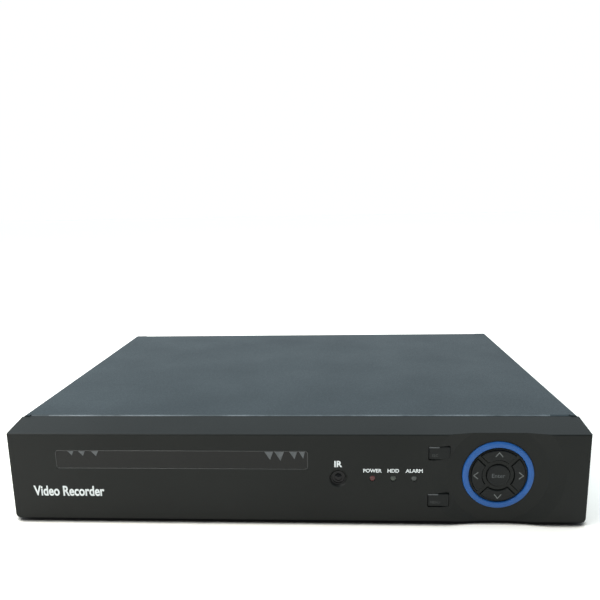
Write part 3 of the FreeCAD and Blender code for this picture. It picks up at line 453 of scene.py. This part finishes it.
def manyBoxes(name, boxes):
    # small square bodies in one mesh
    bm = bmesh.new()
    for low, high in boxes:
        size = [high[k] - low[k] for k in range(3)]
        place = Matrix.Translation([(high[k] + low[k]) / 2 for k in range(3)])
        bmesh.ops.create_cube(bm, size=1, matrix=place @ Matrix.Diagonal(size + [1]))
    return fromBmesh(name, bm)


def plate(name, outlines, frontY, thick):
    # flat outlines of (x, z) points, pushed to the rear from frontY
    bm = bmesh.new()
    for outline in outlines:
        front = [bm.verts.new((x, frontY, z)) for x, z in outline]
        back = [bm.verts.new((x, frontY + thick, z)) for x, z in outline]
        bm.faces.new(front)
        bm.faces.new(back[::-1])
        for k in range(len(front)):
            n = (k + 1) % len(front)
            bm.faces.new((front[k], back[k], back[n], front[n]))
    return fromBmesh(name, bm)


fontLook = dict(capShare=0.682, extrude=0.03, steps=6)   # capitals are 0.682 of the font's size


def lettering(name, words, capHeight, at, material, body, facing="front", squeeze=1.0,
              bold=0.0):
    # at is the middle of the words
    curve = bpy.data.curves.new(name, "FONT")
    curve.body = words
    curve.size = capHeight / fontLook["capShare"] * mm
    curve.extrude = fontLook["extrude"] * mm
    curve.offset = bold * mm
    curve.resolution_u = fontLook["steps"]
    holder = addObject(name + "Curve", curve)
    bpy.context.view_layer.update()
    mesh = bpy.data.meshes.new_from_object(holder)
    bpy.data.objects.remove(holder)
    xs = [v.co.x for v in mesh.vertices]
    centre = Vector(((min(xs) + max(xs)) / 2, capHeight * mm / 2, 0))
    turn = Matrix.Rotation(math.radians(90), 4, "X")
    if facing == "rear":
        turn = Matrix.Rotation(math.radians(180), 4, "Z") @ turn
    narrow = Matrix.Diagonal((squeeze, 1, 1, 1))
    mesh.transform(Matrix.Translation(at) @ turn @ narrow @ Matrix.Translation(-centre))
    mesh.name = name
    return addPiece(name, mesh, material, body)


# light ring

ringLook = dict(inner=14.9, outer=18.0, rear=2.4, roll=0.7, rollSteps=6, pegs=4,
                pegRadius=1.0, pegLong=9.8, pegTaper=0.3)


def buildRing():
    r = ringLook
    frontAt = Vector((padAt.x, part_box("light_ring")[0].y, padAt.z))
    centre = (r["inner"] + r["outer"]) / 2
    profile = arc(r["outer"] - r["roll"], r["roll"], r["roll"], 0, -70, r["rollSteps"])
    profile += [(centre, 0)]
    profile += arc(r["inner"] + r["roll"], r["roll"], r["roll"], -110, -180, r["rollSteps"])
    profile += [(r["inner"], r["rear"]), (r["outer"], r["rear"])]
    ring = addPiece("ringLens", lathe("ringLens", profile, frontAt, 160, True), "ringBlue", "root")
    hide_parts("light_ring")
    for k in range(r["pegs"]):
        a = 2 * math.pi * k / r["pegs"]
        spot = frontAt + Vector((math.cos(a), 0, math.sin(a))) * centre * mm
        wide, tip, taper = r["pegRadius"], r["pegLong"], r["pegTaper"]
        rod = [(0, r["rear"]), (wide, r["rear"]), (wide, tip - taper), (wide - taper, tip),
               (0, tip)]
        name = "ringPeg" + str(k + 1)
        addPiece(name, lathe(name, rod, spot, 24), "ringBlue", "root")


buildRing()


# indicator lenses and the receiver's window

# the crown's curve is part of a circle, out to crownPart of its radius
lensLook = dict(radius=1.5, crown=0.35, crownPart=0.92, steps=6, collar=2.2, collarAt=2.45,
                collarEnd=3.45, long=9.85)


def lightLens(name, node, material):
    d = lensLook
    low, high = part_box(node)
    front = Vector(((low.x + high.x) / 2, low.y, (low.z + high.z) / 2))
    dome = []
    for k in range(d["steps"] + 1):
        part = k / d["steps"]
        fall = 1 - math.sqrt(1 - (d["crownPart"] * part) ** 2)
        dome.append((d["radius"] * part, d["crown"] * fall))
    profile = dome + [(d["radius"], d["collarAt"]), (d["collar"], d["collarAt"]),
                      (d["collar"], d["collarEnd"]), (d["radius"], d["collarEnd"]),
                      (d["radius"], d["long"]), (0, d["long"])]
    lens = addPiece(name, lathe(name, profile, front, 48), material, "root")
    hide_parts(node)


lightLens("powerLens", "power_light", "lightRed")
lightLens("driveLens", "drive_light", "lightGreen")
lightLens("alarmLens", "alarm_light", "lightGrey")

irLook = dict(rim=3.8, rimFront=0.6, rimBreak=0.1, groove=3.1, grooveEnd=1.2, dome=1.9,
              domeRise=0.75, domeSteps=8, flange=4.75, flangeAt=2.3, rear=3.3)


def buildIrWindow():
    d = irLook
    low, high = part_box("ir_window")
    front = Vector(((low.x + high.x) / 2, low.y, (low.z + high.z) / 2))
    shares = [k / d["domeSteps"] for k in range(d["domeSteps"] + 1)]
    profile = [(d["dome"] * share, d["domeRise"] * share ** 2) for share in shares]
    profile += [(d["dome"], d["grooveEnd"]), (d["groove"], d["grooveEnd"]),
                (d["groove"] + d["rimBreak"], d["rimFront"]),
                (d["rim"] - d["rimBreak"], d["rimFront"]),
                (d["rim"], d["rimFront"] + d["rimBreak"]), (d["rim"], d["flangeAt"]),
                (d["flange"], d["flangeAt"]), (d["flange"], d["rear"]), (0, d["rear"])]
    lens = addPiece("irLens", lathe("irLens", profile, front, 72), "irBlack", "root")
    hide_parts("ir_window")


buildIrWindow()
print("recorder: ring, lenses and receiver window turned")


# printing on the face

facePrint = {
    "namePlate": dict(words="Video Recorder", cap=5.3, x=-119.2, z=17.6, squeeze=0.75, bold=0.2),
    "irLabel": dict(words="IR", cap=3.1, above="ir_window", rise=7.9, bold=0.16),
    "powerLabel": dict(words="POWER", cap=1.85, above="power_light", rise=4.3, bold=0.08),
    "driveLabel": dict(words="HDD", cap=1.85, above="drive_light", rise=4.3, bold=0.08),
    "alarmLabel": dict(words="ALARM", cap=1.85, above="alarm_light", rise=4.3, bold=0.08),
}
for name, text in facePrint.items():
    if "above" in text:
        spot = middle(text["above"]) + Vector((0, 0, text["rise"] * mm))
    else:
        spot = Vector((text["x"] * mm, 0, text["z"] * mm))
    spot.y = faceY
    lettering(name, text["words"], text["cap"], spot, "printWhite", "root",
              squeeze=text.get("squeeze", 1.0), bold=text["bold"])


# marks on the long window

# how far along from each end of the window, how wide and how tall each mark is
windowMarks = dict(fromLeft=((8.1, 3.2, 2.4), (14.0, 3.6, 2.7), (21.0, 3.8, 2.8)),
                   fromRight=((20.0, 4.6, 4.5), (14.6, 4.9, 5.0), (7.4, 4.1, 4.1),
                              (2.9, 3.0, 3.8)), drop=0.35, lean=0.6, proud=0.02, thick=0.05)


def downTriangle(x, wide, tall):
    top = windowHigh.z - windowMarks["drop"] * mm
    return [((x - wide / 2) * mm, top), ((x + wide / 2) * mm, top),
            ((x + windowMarks["lean"]) * mm, top - tall * mm)]


def windowTriangles():
    m = windowMarks
    marks = []
    for along, wide, tall in m["fromLeft"]:
        marks.append(downTriangle(windowLow.x / mm + along, wide, tall))
    for along, wide, tall in m["fromRight"]:
        marks.append(downTriangle(windowHigh.x / mm - along, wide, tall))
    mesh = plate("windowMarks", marks, windowLow.y - m["proud"] * mm, m["thick"] * mm)
    addPiece("windowMarks", mesh, "printDim", "root")


rimLook = dict(outside=0.15, wide=0.4, proud=0.08, sunk=0.25, bevel=0.05, round=1.2, steps=5)


def roundedLoop(grow):
    # the window's outline, moved outward by grow millimetres, as (x, z) points
    d = rimLook
    radius = (d["round"] + grow) * mm
    lowX, highX = windowLow.x - grow * mm + radius, windowHigh.x + grow * mm - radius
    lowZ, highZ = windowLow.z - grow * mm + radius, windowHigh.z + grow * mm - radius
    corners = ((highX, highZ, 0), (lowX, highZ, 90), (lowX, lowZ, 180), (highX, lowZ, 270))
    loop = []
    for x, z, start in corners:
        for k in range(d["steps"] + 1):
            a = math.radians(start + 90 * k / d["steps"])
            loop.append((x + radius * math.cos(a), z + radius * math.sin(a)))
    return loop


# a lighter rim round the window; its colour is a painted highlight on the window's edge
def windowRim():
    d = rimLook
    outer, inner, bevel = d["outside"], d["outside"] - d["wide"], d["bevel"]
    front, back = faceY - d["proud"] * mm, faceY + d["sunk"] * mm
    section = ((outer, back), (outer, front + bevel * mm), (outer - bevel, front),
               (inner + bevel, front), (inner, front + bevel * mm), (inner, back))
    bm = bmesh.new()
    rings = [[bm.verts.new((x, y, z)) for x, z in roundedLoop(grow)] for grow, y in section]
    for k, ring in enumerate(rings):
        other = rings[(k + 1) % len(rings)]
        for i in range(len(ring)):
            n = (i + 1) % len(ring)
            bm.faces.new((ring[i], ring[n], other[n], other[i]))
    addPiece("windowRim", fromBmesh("windowRim", bm), "paintedRimHighlight", "root", 30)


windowRim()
windowTriangles()
print("recorder: face printed")


# painted highlight along the cover's front bend: a lighter skin where the bend would catch the
# light, fainter over its ends

# bright and half are how far from the middle the bright painted highlight and the fainter one
# over the bend's ends reach
hemLook = dict(bright=135.5, half=144.8, bend=1.5, proud=0.03, sunk=0.05, start=18, end=52,
               steps=6, parts=40)


# the skin's lighter colour is a painted highlight where the bend would catch the light
def coverHem(name, left, right, material):
    # a thin skin on the bend, from its top (0 degrees) towards its front (90 degrees)
    d = hemLook
    low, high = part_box("top_cover")
    centreY, centreZ = low.y + d["bend"] * mm, high.z - d["bend"] * mm
    section = []
    forward = list(range(d["steps"] + 1))
    for grow, angles in ((d["proud"], forward), (-d["sunk"], forward[::-1])):
        for k in angles:
            a = math.radians(d["start"] + (d["end"] - d["start"]) * k / d["steps"])
            reach = (d["bend"] + grow) * mm
            section.append((centreY - reach * math.sin(a), centreZ + reach * math.cos(a)))
    bm = bmesh.new()
    rings = []
    for k in range(d["parts"] + 1):
        x = (left + (right - left) * k / d["parts"]) * mm
        rings.append([bm.verts.new((x, y, z)) for y, z in section])
    for first, second in zip(rings, rings[1:]):
        for k in range(len(section)):
            n = (k + 1) % len(section)
            bm.faces.new((first[k], first[n], second[n], second[k]))
    bm.faces.new(rings[0])
    bm.faces.new(rings[-1][::-1])
    addPiece(name, fromBmesh(name, bm), material, "root", 50)


for name, left, right, material in (
        ("coverHem", -hemLook["bright"], hemLook["bright"], "paintedBendHighlight"),
        ("coverBendHighlightLeft", -hemLook["half"], -hemLook["bright"], "paintedFaintHighlight"),
        ("coverBendHighlightRight", hemLook["bright"], hemLook["half"], "paintedFaintHighlight")):
    coverHem(name, left, right, material)


# marks on the keys

# flank and notch are the stroke's share that its inner line is moved by, at the ends and the tip
chevron = dict(half=1.95, rise=1.2, stroke=0.42, flank=0.75, notch=1.45, proud=0.03, thick=0.08,
               out=11.6)


def chevronMark(name, key, degrees):
    c = chevron
    half, rise, stroke = c["half"] * mm, c["rise"] * mm, c["stroke"] * mm
    flank = stroke * c["flank"]
    outline = [(-half, -rise), (0, rise), (half, -rise), (half - flank, -rise - flank),
               (0, rise - stroke * c["notch"]), (-half + flank, -rise - flank)]
    turn = math.radians(degrees)
    placed = []
    for x, z in outline:
        z += c["out"] * mm
        placed.append((padAt.x + x * math.cos(turn) + z * math.sin(turn),
                       padAt.z - x * math.sin(turn) + z * math.cos(turn)))
    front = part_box(key)[0].y - c["proud"] * mm
    addPiece(name, plate(name, [placed], front, c["thick"] * mm), "printGrey", key)


for name, key, degrees in (("upMark", "up_key", 0), ("rightMark", "right_key", 90),
                           ("downMark", "down_key", 180), ("leftMark", "left_key", 270)):
    chevronMark(name, key, degrees)

keyPrint = {
    "enterMark": dict(words="Enter", cap=2.1, key="enter_key", ink="printDim", right=0, up=0),
    "menuMark": dict(words="MENU", cap=1.3, key="menu_key", ink="printFaint", right=-1.6, up=-1.2),
    "escapeMark": dict(words="ESC", cap=1.3, key="escape_key", ink="printFaint", right=-2.2,
                       up=-1.2),
}
for name, text in keyPrint.items():
    spot = middle(text["key"]) + Vector((text["right"], 0, text["up"])) * mm
    spot.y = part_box(text["key"])[0].y
    lettering(name, text["words"], text["cap"], spot, text["ink"], text["key"])

keyBar = dict(long=5.4, tall=0.6, fromLeft=0.8, fromTop=0.9, thick=0.12, proud=0.04)


def keyBarMark(name, key):
    # a pale bar near the top left corner of a side key
    d = keyBar
    low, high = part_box(key)
    left, top = low.x + d["fromLeft"] * mm, high.z - d["fromTop"] * mm
    right, bottom = left + d["long"] * mm, top - d["tall"] * mm
    cut = d["tall"] / 2 * mm
    outline = [(left + cut, top), (right - cut, top), (right, top - cut), (right - cut, bottom),
               (left + cut, bottom), (left, top - cut)]
    mesh = plate(name, [outline], low.y - d["proud"] * mm, d["thick"] * mm)
    addPiece(name, mesh, "printDim", key)


keyBarMark("menuBar", "menu_key")
keyBarMark("escapeBar", "escape_key")
print("recorder: keys marked")


# fan rotor

# hubBack and hubFront are how far the hub stays inside the rotor's depth at each end, and
# bladeRoom is how much less deep the blades are than the rotor
fanLook = dict(blades=7, hub=9.2, hubRoll=1.0, hubWall=1.5, hubRoof=1.4, hubBack=0.15,
               hubFront=0.7, bladeRoot=8.8, bladeTip=18.1, rootChord=8.6, tipChord=11.5,
               rootPitch=52, tipPitch=36, camber=0.11, thick=0.9, lean=16, across=8, along=8,
               bladeRoom=1.0, sticker=6.5, stickerEdge=0.1, stickerThick=0.05, pin=1.0,
               pinFront=0.1)


def fanBlade(bm, number, axisAt, spanY):
    f = fanLook
    across, along = f["across"], f["along"]
    skins = ([], [])
    for i in range(across + 1):
        t = i / across
        radius = f["bladeRoot"] + (f["bladeTip"] - f["bladeRoot"]) * t
        chord = f["rootChord"] + (f["tipChord"] - f["rootChord"]) * t
        pitch = math.radians(f["rootPitch"] + (f["tipPitch"] - f["rootPitch"]) * t)
        reach = min(chord / 2, spanY / 2 / math.sin(pitch))
        sweep = 2 * math.pi * number / f["blades"] + math.radians(f["lean"]) * t * t
        rows = ([], [])
        for j in range(along + 1):
            u = 2 * j / along - 1
            bow = f["camber"] * chord * (1 - u * u)
            around = u * reach * math.cos(pitch) + bow * math.sin(pitch)
            depth = u * reach * math.sin(pitch) - bow * math.cos(pitch)
            edgeThin = f["thick"] / 2 * math.sqrt(max(0.08, 1 - u ** 4))
            for side, row in zip((-1, 1), rows):
                a = sweep + (around + side * edgeThin * math.sin(pitch)) / radius
                y = depth - side * edgeThin * math.cos(pitch)
                y = max(-spanY / 2, min(spanY / 2, y))
                row.append(bm.verts.new((axisAt.x + radius * mm * math.cos(a),
                                         axisAt.y + y * mm,
                                         axisAt.z + radius * mm * math.sin(a))))
        for skin, row in zip(skins, rows):
            skin.append(row)
    front, back = skins
    for i in range(across):
        for j in range(along):
            bm.faces.new((front[i][j], front[i + 1][j], front[i + 1][j + 1], front[i][j + 1]))
            bm.faces.new((back[i][j], back[i][j + 1], back[i + 1][j + 1], back[i + 1][j]))
        for j in (0, along):
            bm.faces.new((front[i][j], back[i][j], back[i + 1][j], front[i + 1][j]))
    for i in (0, across):
        for j in range(along):
            bm.faces.new((front[i][j], front[i][j + 1], back[i][j + 1], back[i][j]))


def buildFan():
    f = fanLook
    low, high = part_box("fan_rotor")
    axis = Vector(next(j for j in frame["joints"] if j["child"] == "fan_rotor")["pos_m"])
    hubHigh = high.y / mm - f["hubBack"]
    hubLow = low.y / mm + f["hubFront"]
    inside, roof = f["hub"] - f["hubWall"], hubHigh - f["hubRoof"]
    centre = Vector((axis.x, 0, axis.z))
    profile = [(0, hubHigh)]
    profile += arc(f["hub"] - f["hubRoll"], hubHigh - f["hubRoll"], f["hubRoll"], 90, 0, 6)
    profile += [(f["hub"], hubLow), (inside, hubLow), (inside, roof), (0, roof)]
    hub = addPiece("fanHub", lathe("fanHub", profile, centre, 96), "blackNylon", "fan_rotor")
    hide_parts("fan_rotor")
    bm = bmesh.new()
    axisAt = Vector((axis.x, (low.y + high.y) / 2, axis.z))
    for k in range(f["blades"]):
        fanBlade(bm, k, axisAt, (high.y - low.y) / mm - f["bladeRoom"])
    blades = addPiece("fanBlades", fromBmesh("fanBlades", bm), "blackNylon", "fan_rotor", 50)
    top = hubHigh + f["stickerThick"]
    rim = f["sticker"]
    label = [(0, top), (rim - f["stickerEdge"], top), (rim, hubHigh), (0, hubHigh)]
    sticker = lathe("fanSticker", label, centre)
    addPiece("fanSticker", sticker, "labelSilver", "fan_rotor")
    pinLow = low.y / mm + f["pinFront"]
    pin = [(0, pinLow), (f["pin"], pinLow), (f["pin"], roof), (0, roof)]
    addPiece("fanAxle", lathe("fanAxle", pin, centre, 24), "brightZinc", "fan_rotor")


buildFan()
print("recorder: fan bladed")


# printing on the rear

rearPrint = dict(cap=2.2, numberCap=1.76, socketCap=1.87, clear=2.6, numberClear=1.56,
                 ink="printWhite")


def rearLabels():
    r = rearPrint
    shells = solidBoxes("video_jack_shells")
    columns = sorted({round(b[0].x, 3) for b in shells}, reverse=True)
    rows = sorted({round(b[0].z, 3) for b in shells}, reverse=True)
    number = 0
    for row in rows:
        for column in columns:
            number += 1
            low, high = next(b for b in shells
                             if round(b[0].x, 3) == column and round(b[0].z, 3) == row)
            spot = Vector(((low.x + high.x) / 2, rearY, high.z + r["numberClear"] * mm))
            lettering("jackNumber" + str(number), str(number), r["numberCap"], spot, r["ink"],
                      "root", "rear")
    words = {"screenWords": ("SCREEN", "screen_socket_shell"),
             "networkWords": ("NETWORK", "network_socket"),
             "powerWords": ("POWER", "power_socket")}
    for name, (text, node) in words.items():
        low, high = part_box(node)
        spot = Vector(((low.x + high.x) / 2, rearY, high.z + r["clear"] * mm))
        lettering(name, text, r["socketCap"], spot, r["ink"], "root", "rear")
    low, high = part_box("audio_jack_shells")
    spot = Vector(((low.x + high.x) / 2, rearY, high.z + r["clear"] * mm))
    lettering("audioWords", "AUDIO", r["cap"], spot, r["ink"], "root", "rear")


rearLabels()
print("recorder: rear printed")


# details on the boards

# shoulder is how far out a leg runs before it turns down, and shoulderUp is its height's share
# of the chip's height; endRoom is what the row of legs leaves free, and square is how much
# shorter than the other a side may be and still have legs
legLook = dict(pitch=1.27, wide=0.4, reach=0.9, thick=0.15, shoulder=0.35, shoulderUp=0.45,
               endRoom=1.0, tallest=4.0, square=0.1)
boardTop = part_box("main_board")[1].z


def legsAlong(low, high, axis):
    # gull-wing legs on the two sides of a chip that run along axis, three boxes to a leg
    g = legLook
    shelf, thick = (high.z - low.z) * g["shoulderUp"], g["thick"] * mm
    # how far out each box starts and ends, in millimetres, and its bottom and top over the board
    parts = ((0, g["shoulder"], shelf, shelf + thick),
             (g["shoulder"] - g["thick"], g["shoulder"], 0, shelf),
             (g["shoulder"], g["reach"], 0, thick))
    length = high[axis] - low[axis]
    count = int((length / mm - g["endRoom"]) / g["pitch"])
    first = (high[axis] + low[axis]) / 2 - (count - 1) / 2 * g["pitch"] * mm
    boxes = []
    for k in range(count):
        along = first + k * g["pitch"] * mm
        for edge, way in ((low[1 - axis], -1), (high[1 - axis], 1)):
            for near, far, bottom, top in parts:
                lo = [0, 0, boardTop + bottom]
                hi = [0, 0, boardTop + top]
                lo[axis], hi[axis] = along - g["wide"] / 2 * mm, along + g["wide"] / 2 * mm
                lo[1 - axis], hi[1 - axis] = sorted((edge + way * near * mm,
                                                     edge + way * far * mm))
                boxes.append((lo, hi))
    return boxes


def chipLegs():
    # a long chip has legs on its long sides, a square one on all four, and a tall one has none
    strips = []
    for low, high in solidBoxes("board_chips"):
        if high.z - low.z > legLook["tallest"] * mm:
            continue
        for axis in (0, 1):
            length, width = high[axis] - low[axis], high[1 - axis] - low[1 - axis]
            if length >= width - legLook["square"] * mm:
                strips += legsAlong(low, high, axis)
    addPiece("chipLegs", manyBoxes("chipLegs", strips), "brightZinc", "root")


smallLook = dict(seed=7, tries=420, want=110, long=2.0, wide=1.25, tall=0.55, cap=0.4,
                 capProud=0.05, clear=1.6, sideRoom=5, frontRoom=4, rearRoom=16)


def smallParts():
    # chip resistors and capacitors, scattered on a one millimetre grid clear of the rest
    d = smallLook
    draw = random.Random(d["seed"])
    low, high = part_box("main_board")
    taken = []
    for node in ("board_chips", "board_capacitors", "board_headers", "heat_sink", "cell_holder",
                 "video_jack_blocks", "audio_jack_blocks", "screen_socket_core",
                 "data_socket_shells", "network_socket", "power_socket", "board_screws"):
        taken += [(lo, hi) for lo, hi in solidBoxes(node) if hi.z > boardTop]
    bodies, ends = [], []
    for attempt in range(d["tries"]):
        x = round(draw.uniform(low.x + d["sideRoom"] * mm, high.x - d["sideRoom"] * mm), 3)
        y = round(draw.uniform(low.y + d["frontRoom"] * mm, high.y - d["rearRoom"] * mm), 3)
        along = draw.random() < 0.5
        half = [d["long"] / 2 * mm, d["wide"] / 2 * mm]
        if not along:
            half.reverse()
        gap = d["clear"] * mm
        if any(lo[0] - gap < x + half[0] and x - half[0] < hi[0] + gap
               and lo[1] - gap < y + half[1] and y - half[1] < hi[1] + gap for lo, hi in taken):
            continue
        taken.append(((x - half[0], y - half[1]), (x + half[0], y + half[1])))
        axis = 0 if along else 1
        lo = [x - half[0], y - half[1], boardTop]
        hi = [x + half[0], y + half[1], boardTop + d["tall"] * mm]
        for way in (-1, 1):
            a, b = list(lo), list(hi)
            if way < 0:
                b[axis] = lo[axis] + d["cap"] * mm
            else:
                a[axis] = hi[axis] - d["cap"] * mm
            ends.append((a, b))
        lo[axis] += d["cap"] * mm
        hi[axis] -= d["cap"] * mm
        hi[2] -= d["capProud"] * mm
        bodies.append((lo, hi))
        if len(bodies) == d["want"]:
            break
    addPiece("smallPartBodies", manyBoxes("smallPartBodies", bodies), "chipBlack", "root")
    addPiece("smallPartEnds", manyBoxes("smallPartEnds", ends), "brightZinc", "root")


canLook = dict(inset=0.55, tall=0.06, taper=0.05, segments=40)


def canTops():
    # bare aluminium tops on the capacitors
    d = canLook
    bm = bmesh.new()
    for low, high in solidBoxes("board_capacitors"):
        x, y, top = (low.x + high.x) / 2, (low.y + high.y) / 2, high.z
        radius = (high.x - low.x) / 2 - d["inset"] * mm
        bmesh.ops.create_cone(bm, cap_ends=True, segments=d["segments"], radius1=radius,
                              radius2=radius - d["taper"] * mm, depth=d["tall"] * mm,
                              matrix=Matrix.Translation((x, y, top + d["tall"] / 2 * mm)))
    addPiece("canTops", fromBmesh("canTops", bm), "finAluminium", "root")


chipLegs()
smallParts()
canTops()
print("recorder: boards populated")


# hard drive's lid

# labelLeft and labelRight are the label's ends, from the lid's right side
lidLook = dict(screwInset=4.5, screwRadius=2.4, screwTaper=0.3, screwTall=0.5, labelInset=20,
               labelLeft=64, labelRight=10, labelThick=0.08)


def driveLid():
    d = lidLook
    low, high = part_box("drive_lid")
    bm = bmesh.new()
    inset, tall = d["screwInset"] * mm, d["screwTall"] * mm
    for x in (low.x + inset, (low.x + high.x) / 2, high.x - inset):
        for y in (low.y + inset, high.y - inset):
            bmesh.ops.create_cone(bm, cap_ends=True, segments=32, radius1=d["screwRadius"] * mm,
                                  radius2=(d["screwRadius"] - d["screwTaper"]) * mm, depth=tall,
                                  matrix=Matrix.Translation((x, y, high.z + tall / 2)))
    addPiece("lidScrews", fromBmesh("lidScrews", bm), "brightZinc", "root")
    edge = d["labelInset"] * mm
    label = ((high.x - d["labelLeft"] * mm, low.y + edge, high.z),
             (high.x - d["labelRight"] * mm, high.y - edge, high.z + d["labelThick"] * mm))
    addPiece("driveSticker", manyBoxes("driveSticker", [label]), "labelSilver", "root")


driveLid()
print("recorder: drive lid finished")


# floor, light and camera

# contact is how near the recorder the painted contact shadow on the paper reaches, and how open
# the sky over it is where that painted shadow is darkest and where it is clear
floorLook = dict(half=6.0, paper=(0.93, 0.9, 0.85, 1), paintedShadow=(0.01, 0.01, 0.01, 1), glow=0.33,
                 rough=0.7, contactReach=6, contactDark=0.55, contactClear=0.75)


# the paper's colour darkens where an occlusion node finds the recorder close by: a painted contact
# shadow
def floorPaper():
    d = floorLook
    material, tree, shader = newMaterial("floorPaper")
    contact = tree.nodes.new("ShaderNodeAmbientOcclusion")
    contact.inputs["Distance"].default_value = d["contactReach"] * mm
    contact.samples = 8
    openSky = remap(tree, contact.outputs["AO"], d["contactDark"], d["contactClear"])
    paper = mixColor(tree, openSky, d["paintedShadow"], d["paper"])
    link(tree, paper, shader.inputs["Base Color"])
    link(tree, paper, shader.inputs["Emission Color"])
    shader.inputs["Emission Strength"].default_value = d["glow"]
    shader.inputs["Roughness"].default_value = d["rough"]
    oneSided = tree.nodes.new("ShaderNodeMixShader")   # the paper shows from above only
    underneath = tree.nodes.new("ShaderNodeNewGeometry").outputs["Backfacing"]
    link(tree, underneath, oneSided.inputs["Fac"])
    link(tree, shader.outputs["BSDF"], oneSided.inputs[1])
    link(tree, tree.nodes.new("ShaderNodeBsdfTransparent").outputs["BSDF"], oneSided.inputs[2])
    output = next(node for node in tree.nodes if node.type == "OUTPUT_MATERIAL")
    link(tree, oneSided.outputs["Shader"], output.inputs["Surface"])
    return material


def stageFloor():
    half = floorLook["half"]
    mesh = bpy.data.meshes.new("floor")
    mesh.from_pydata([(-half, -half, 0), (half, -half, 0), (half, half, 0), (-half, half, 0)],
                     [], [(0, 1, 2, 3)])
    mesh.materials.append(floorPaper())
    addObject("floor", mesh)


def softLight(name, look):
    light = bpy.data.lights.new(name, "AREA")
    light.shape = "RECTANGLE"
    light.size, light.size_y = look["size"]
    light.energy = look["watts"]
    light.color = look["color"]
    holder = addObject(name, light)
    holder.location = look["at"]
    aim = Vector(look["aim"]) - Vector(look["at"])
    holder.rotation_euler = aim.to_track_quat("-Z", "Y").to_euler()


studio = {
    "leftSoftbox": dict(at=(-0.9, -0.15, 0.6), aim=(-0.3, -0.2, 0), size=(0.7, 0.5), watts=8,
                        color=(1.0, 0.98, 0.93)),
    "topSoftbox": dict(at=(-0.15, 0.15, 1.4), aim=(-0.1, 0.0, 0), size=(1.6, 0.9), watts=7,
                       color=(0.85, 1.0, 1.06)),
    "frontSoftbox": dict(at=(-0.45, -0.35, 0.8), aim=(-0.25, -0.2, 0), size=(0.6, 0.2), watts=3,
                         color=(1.0, 0.99, 0.95)),
}
# front and behind are how bright the sky is in front of the recorder and behind it
skyLook = dict(color=(1.0, 1.13, 1.2, 1), front=0.4, behind=1.0, fade=0.35)


def lightStage():
    for name, look in studio.items():
        softLight(name, look)
    world = bpy.data.worlds.new("studioWorld")
    world.use_nodes = True
    tree = world.node_tree
    backdrop = tree.nodes["Background"]
    backdrop.inputs["Color"].default_value = skyLook["color"]
    apart = tree.nodes.new("ShaderNodeSeparateXYZ")
    link(tree, tree.nodes.new("ShaderNodeTexCoord").outputs["Generated"], apart.inputs[0])
    strength = remap(tree, apart.outputs["Y"], -skyLook["fade"], skyLook["fade"],
                     skyLook["front"], skyLook["behind"])
    link(tree, strength, backdrop.inputs["Strength"])
    bpy.context.scene.world = world
    bpy.context.scene.view_settings.view_transform = "Standard"


# at is in millimetres and the angles are in degrees
view = dict(at=(21.8, -399.4, 166.8), turn=3.25, tilt=11.4, roll=1.16, lens=35.8, sensor=36,
            rise=0.0333)


def aimCamera():
    camera = bpy.data.cameras.new("camera")
    camera.lens = view["lens"]
    camera.sensor_width = view["sensor"]
    camera.clip_start = 0.01
    camera.shift_y = view["rise"]
    turn, tilt, roll = (math.radians(view[k]) for k in ("turn", "tilt", "roll"))
    right = Vector((math.cos(turn), math.sin(turn), 0))
    ahead = Vector((-math.sin(turn) * math.cos(tilt), math.cos(turn) * math.cos(tilt),
                    -math.sin(tilt)))
    up = right.cross(ahead)
    across = right * math.cos(roll) - up * math.sin(roll)
    upward = right * math.sin(roll) + up * math.cos(roll)
    holder = addObject("camera", camera)
    axes = Matrix((across, upward, -ahead)).transposed().to_4x4()
    holder.matrix_world = Matrix.Translation(Vector(view["at"]) * mm) @ axes
    bpy.context.scene.camera = holder


stageFloor()
lightStage()
aimCamera()
print("recorder: stage, light and camera set")
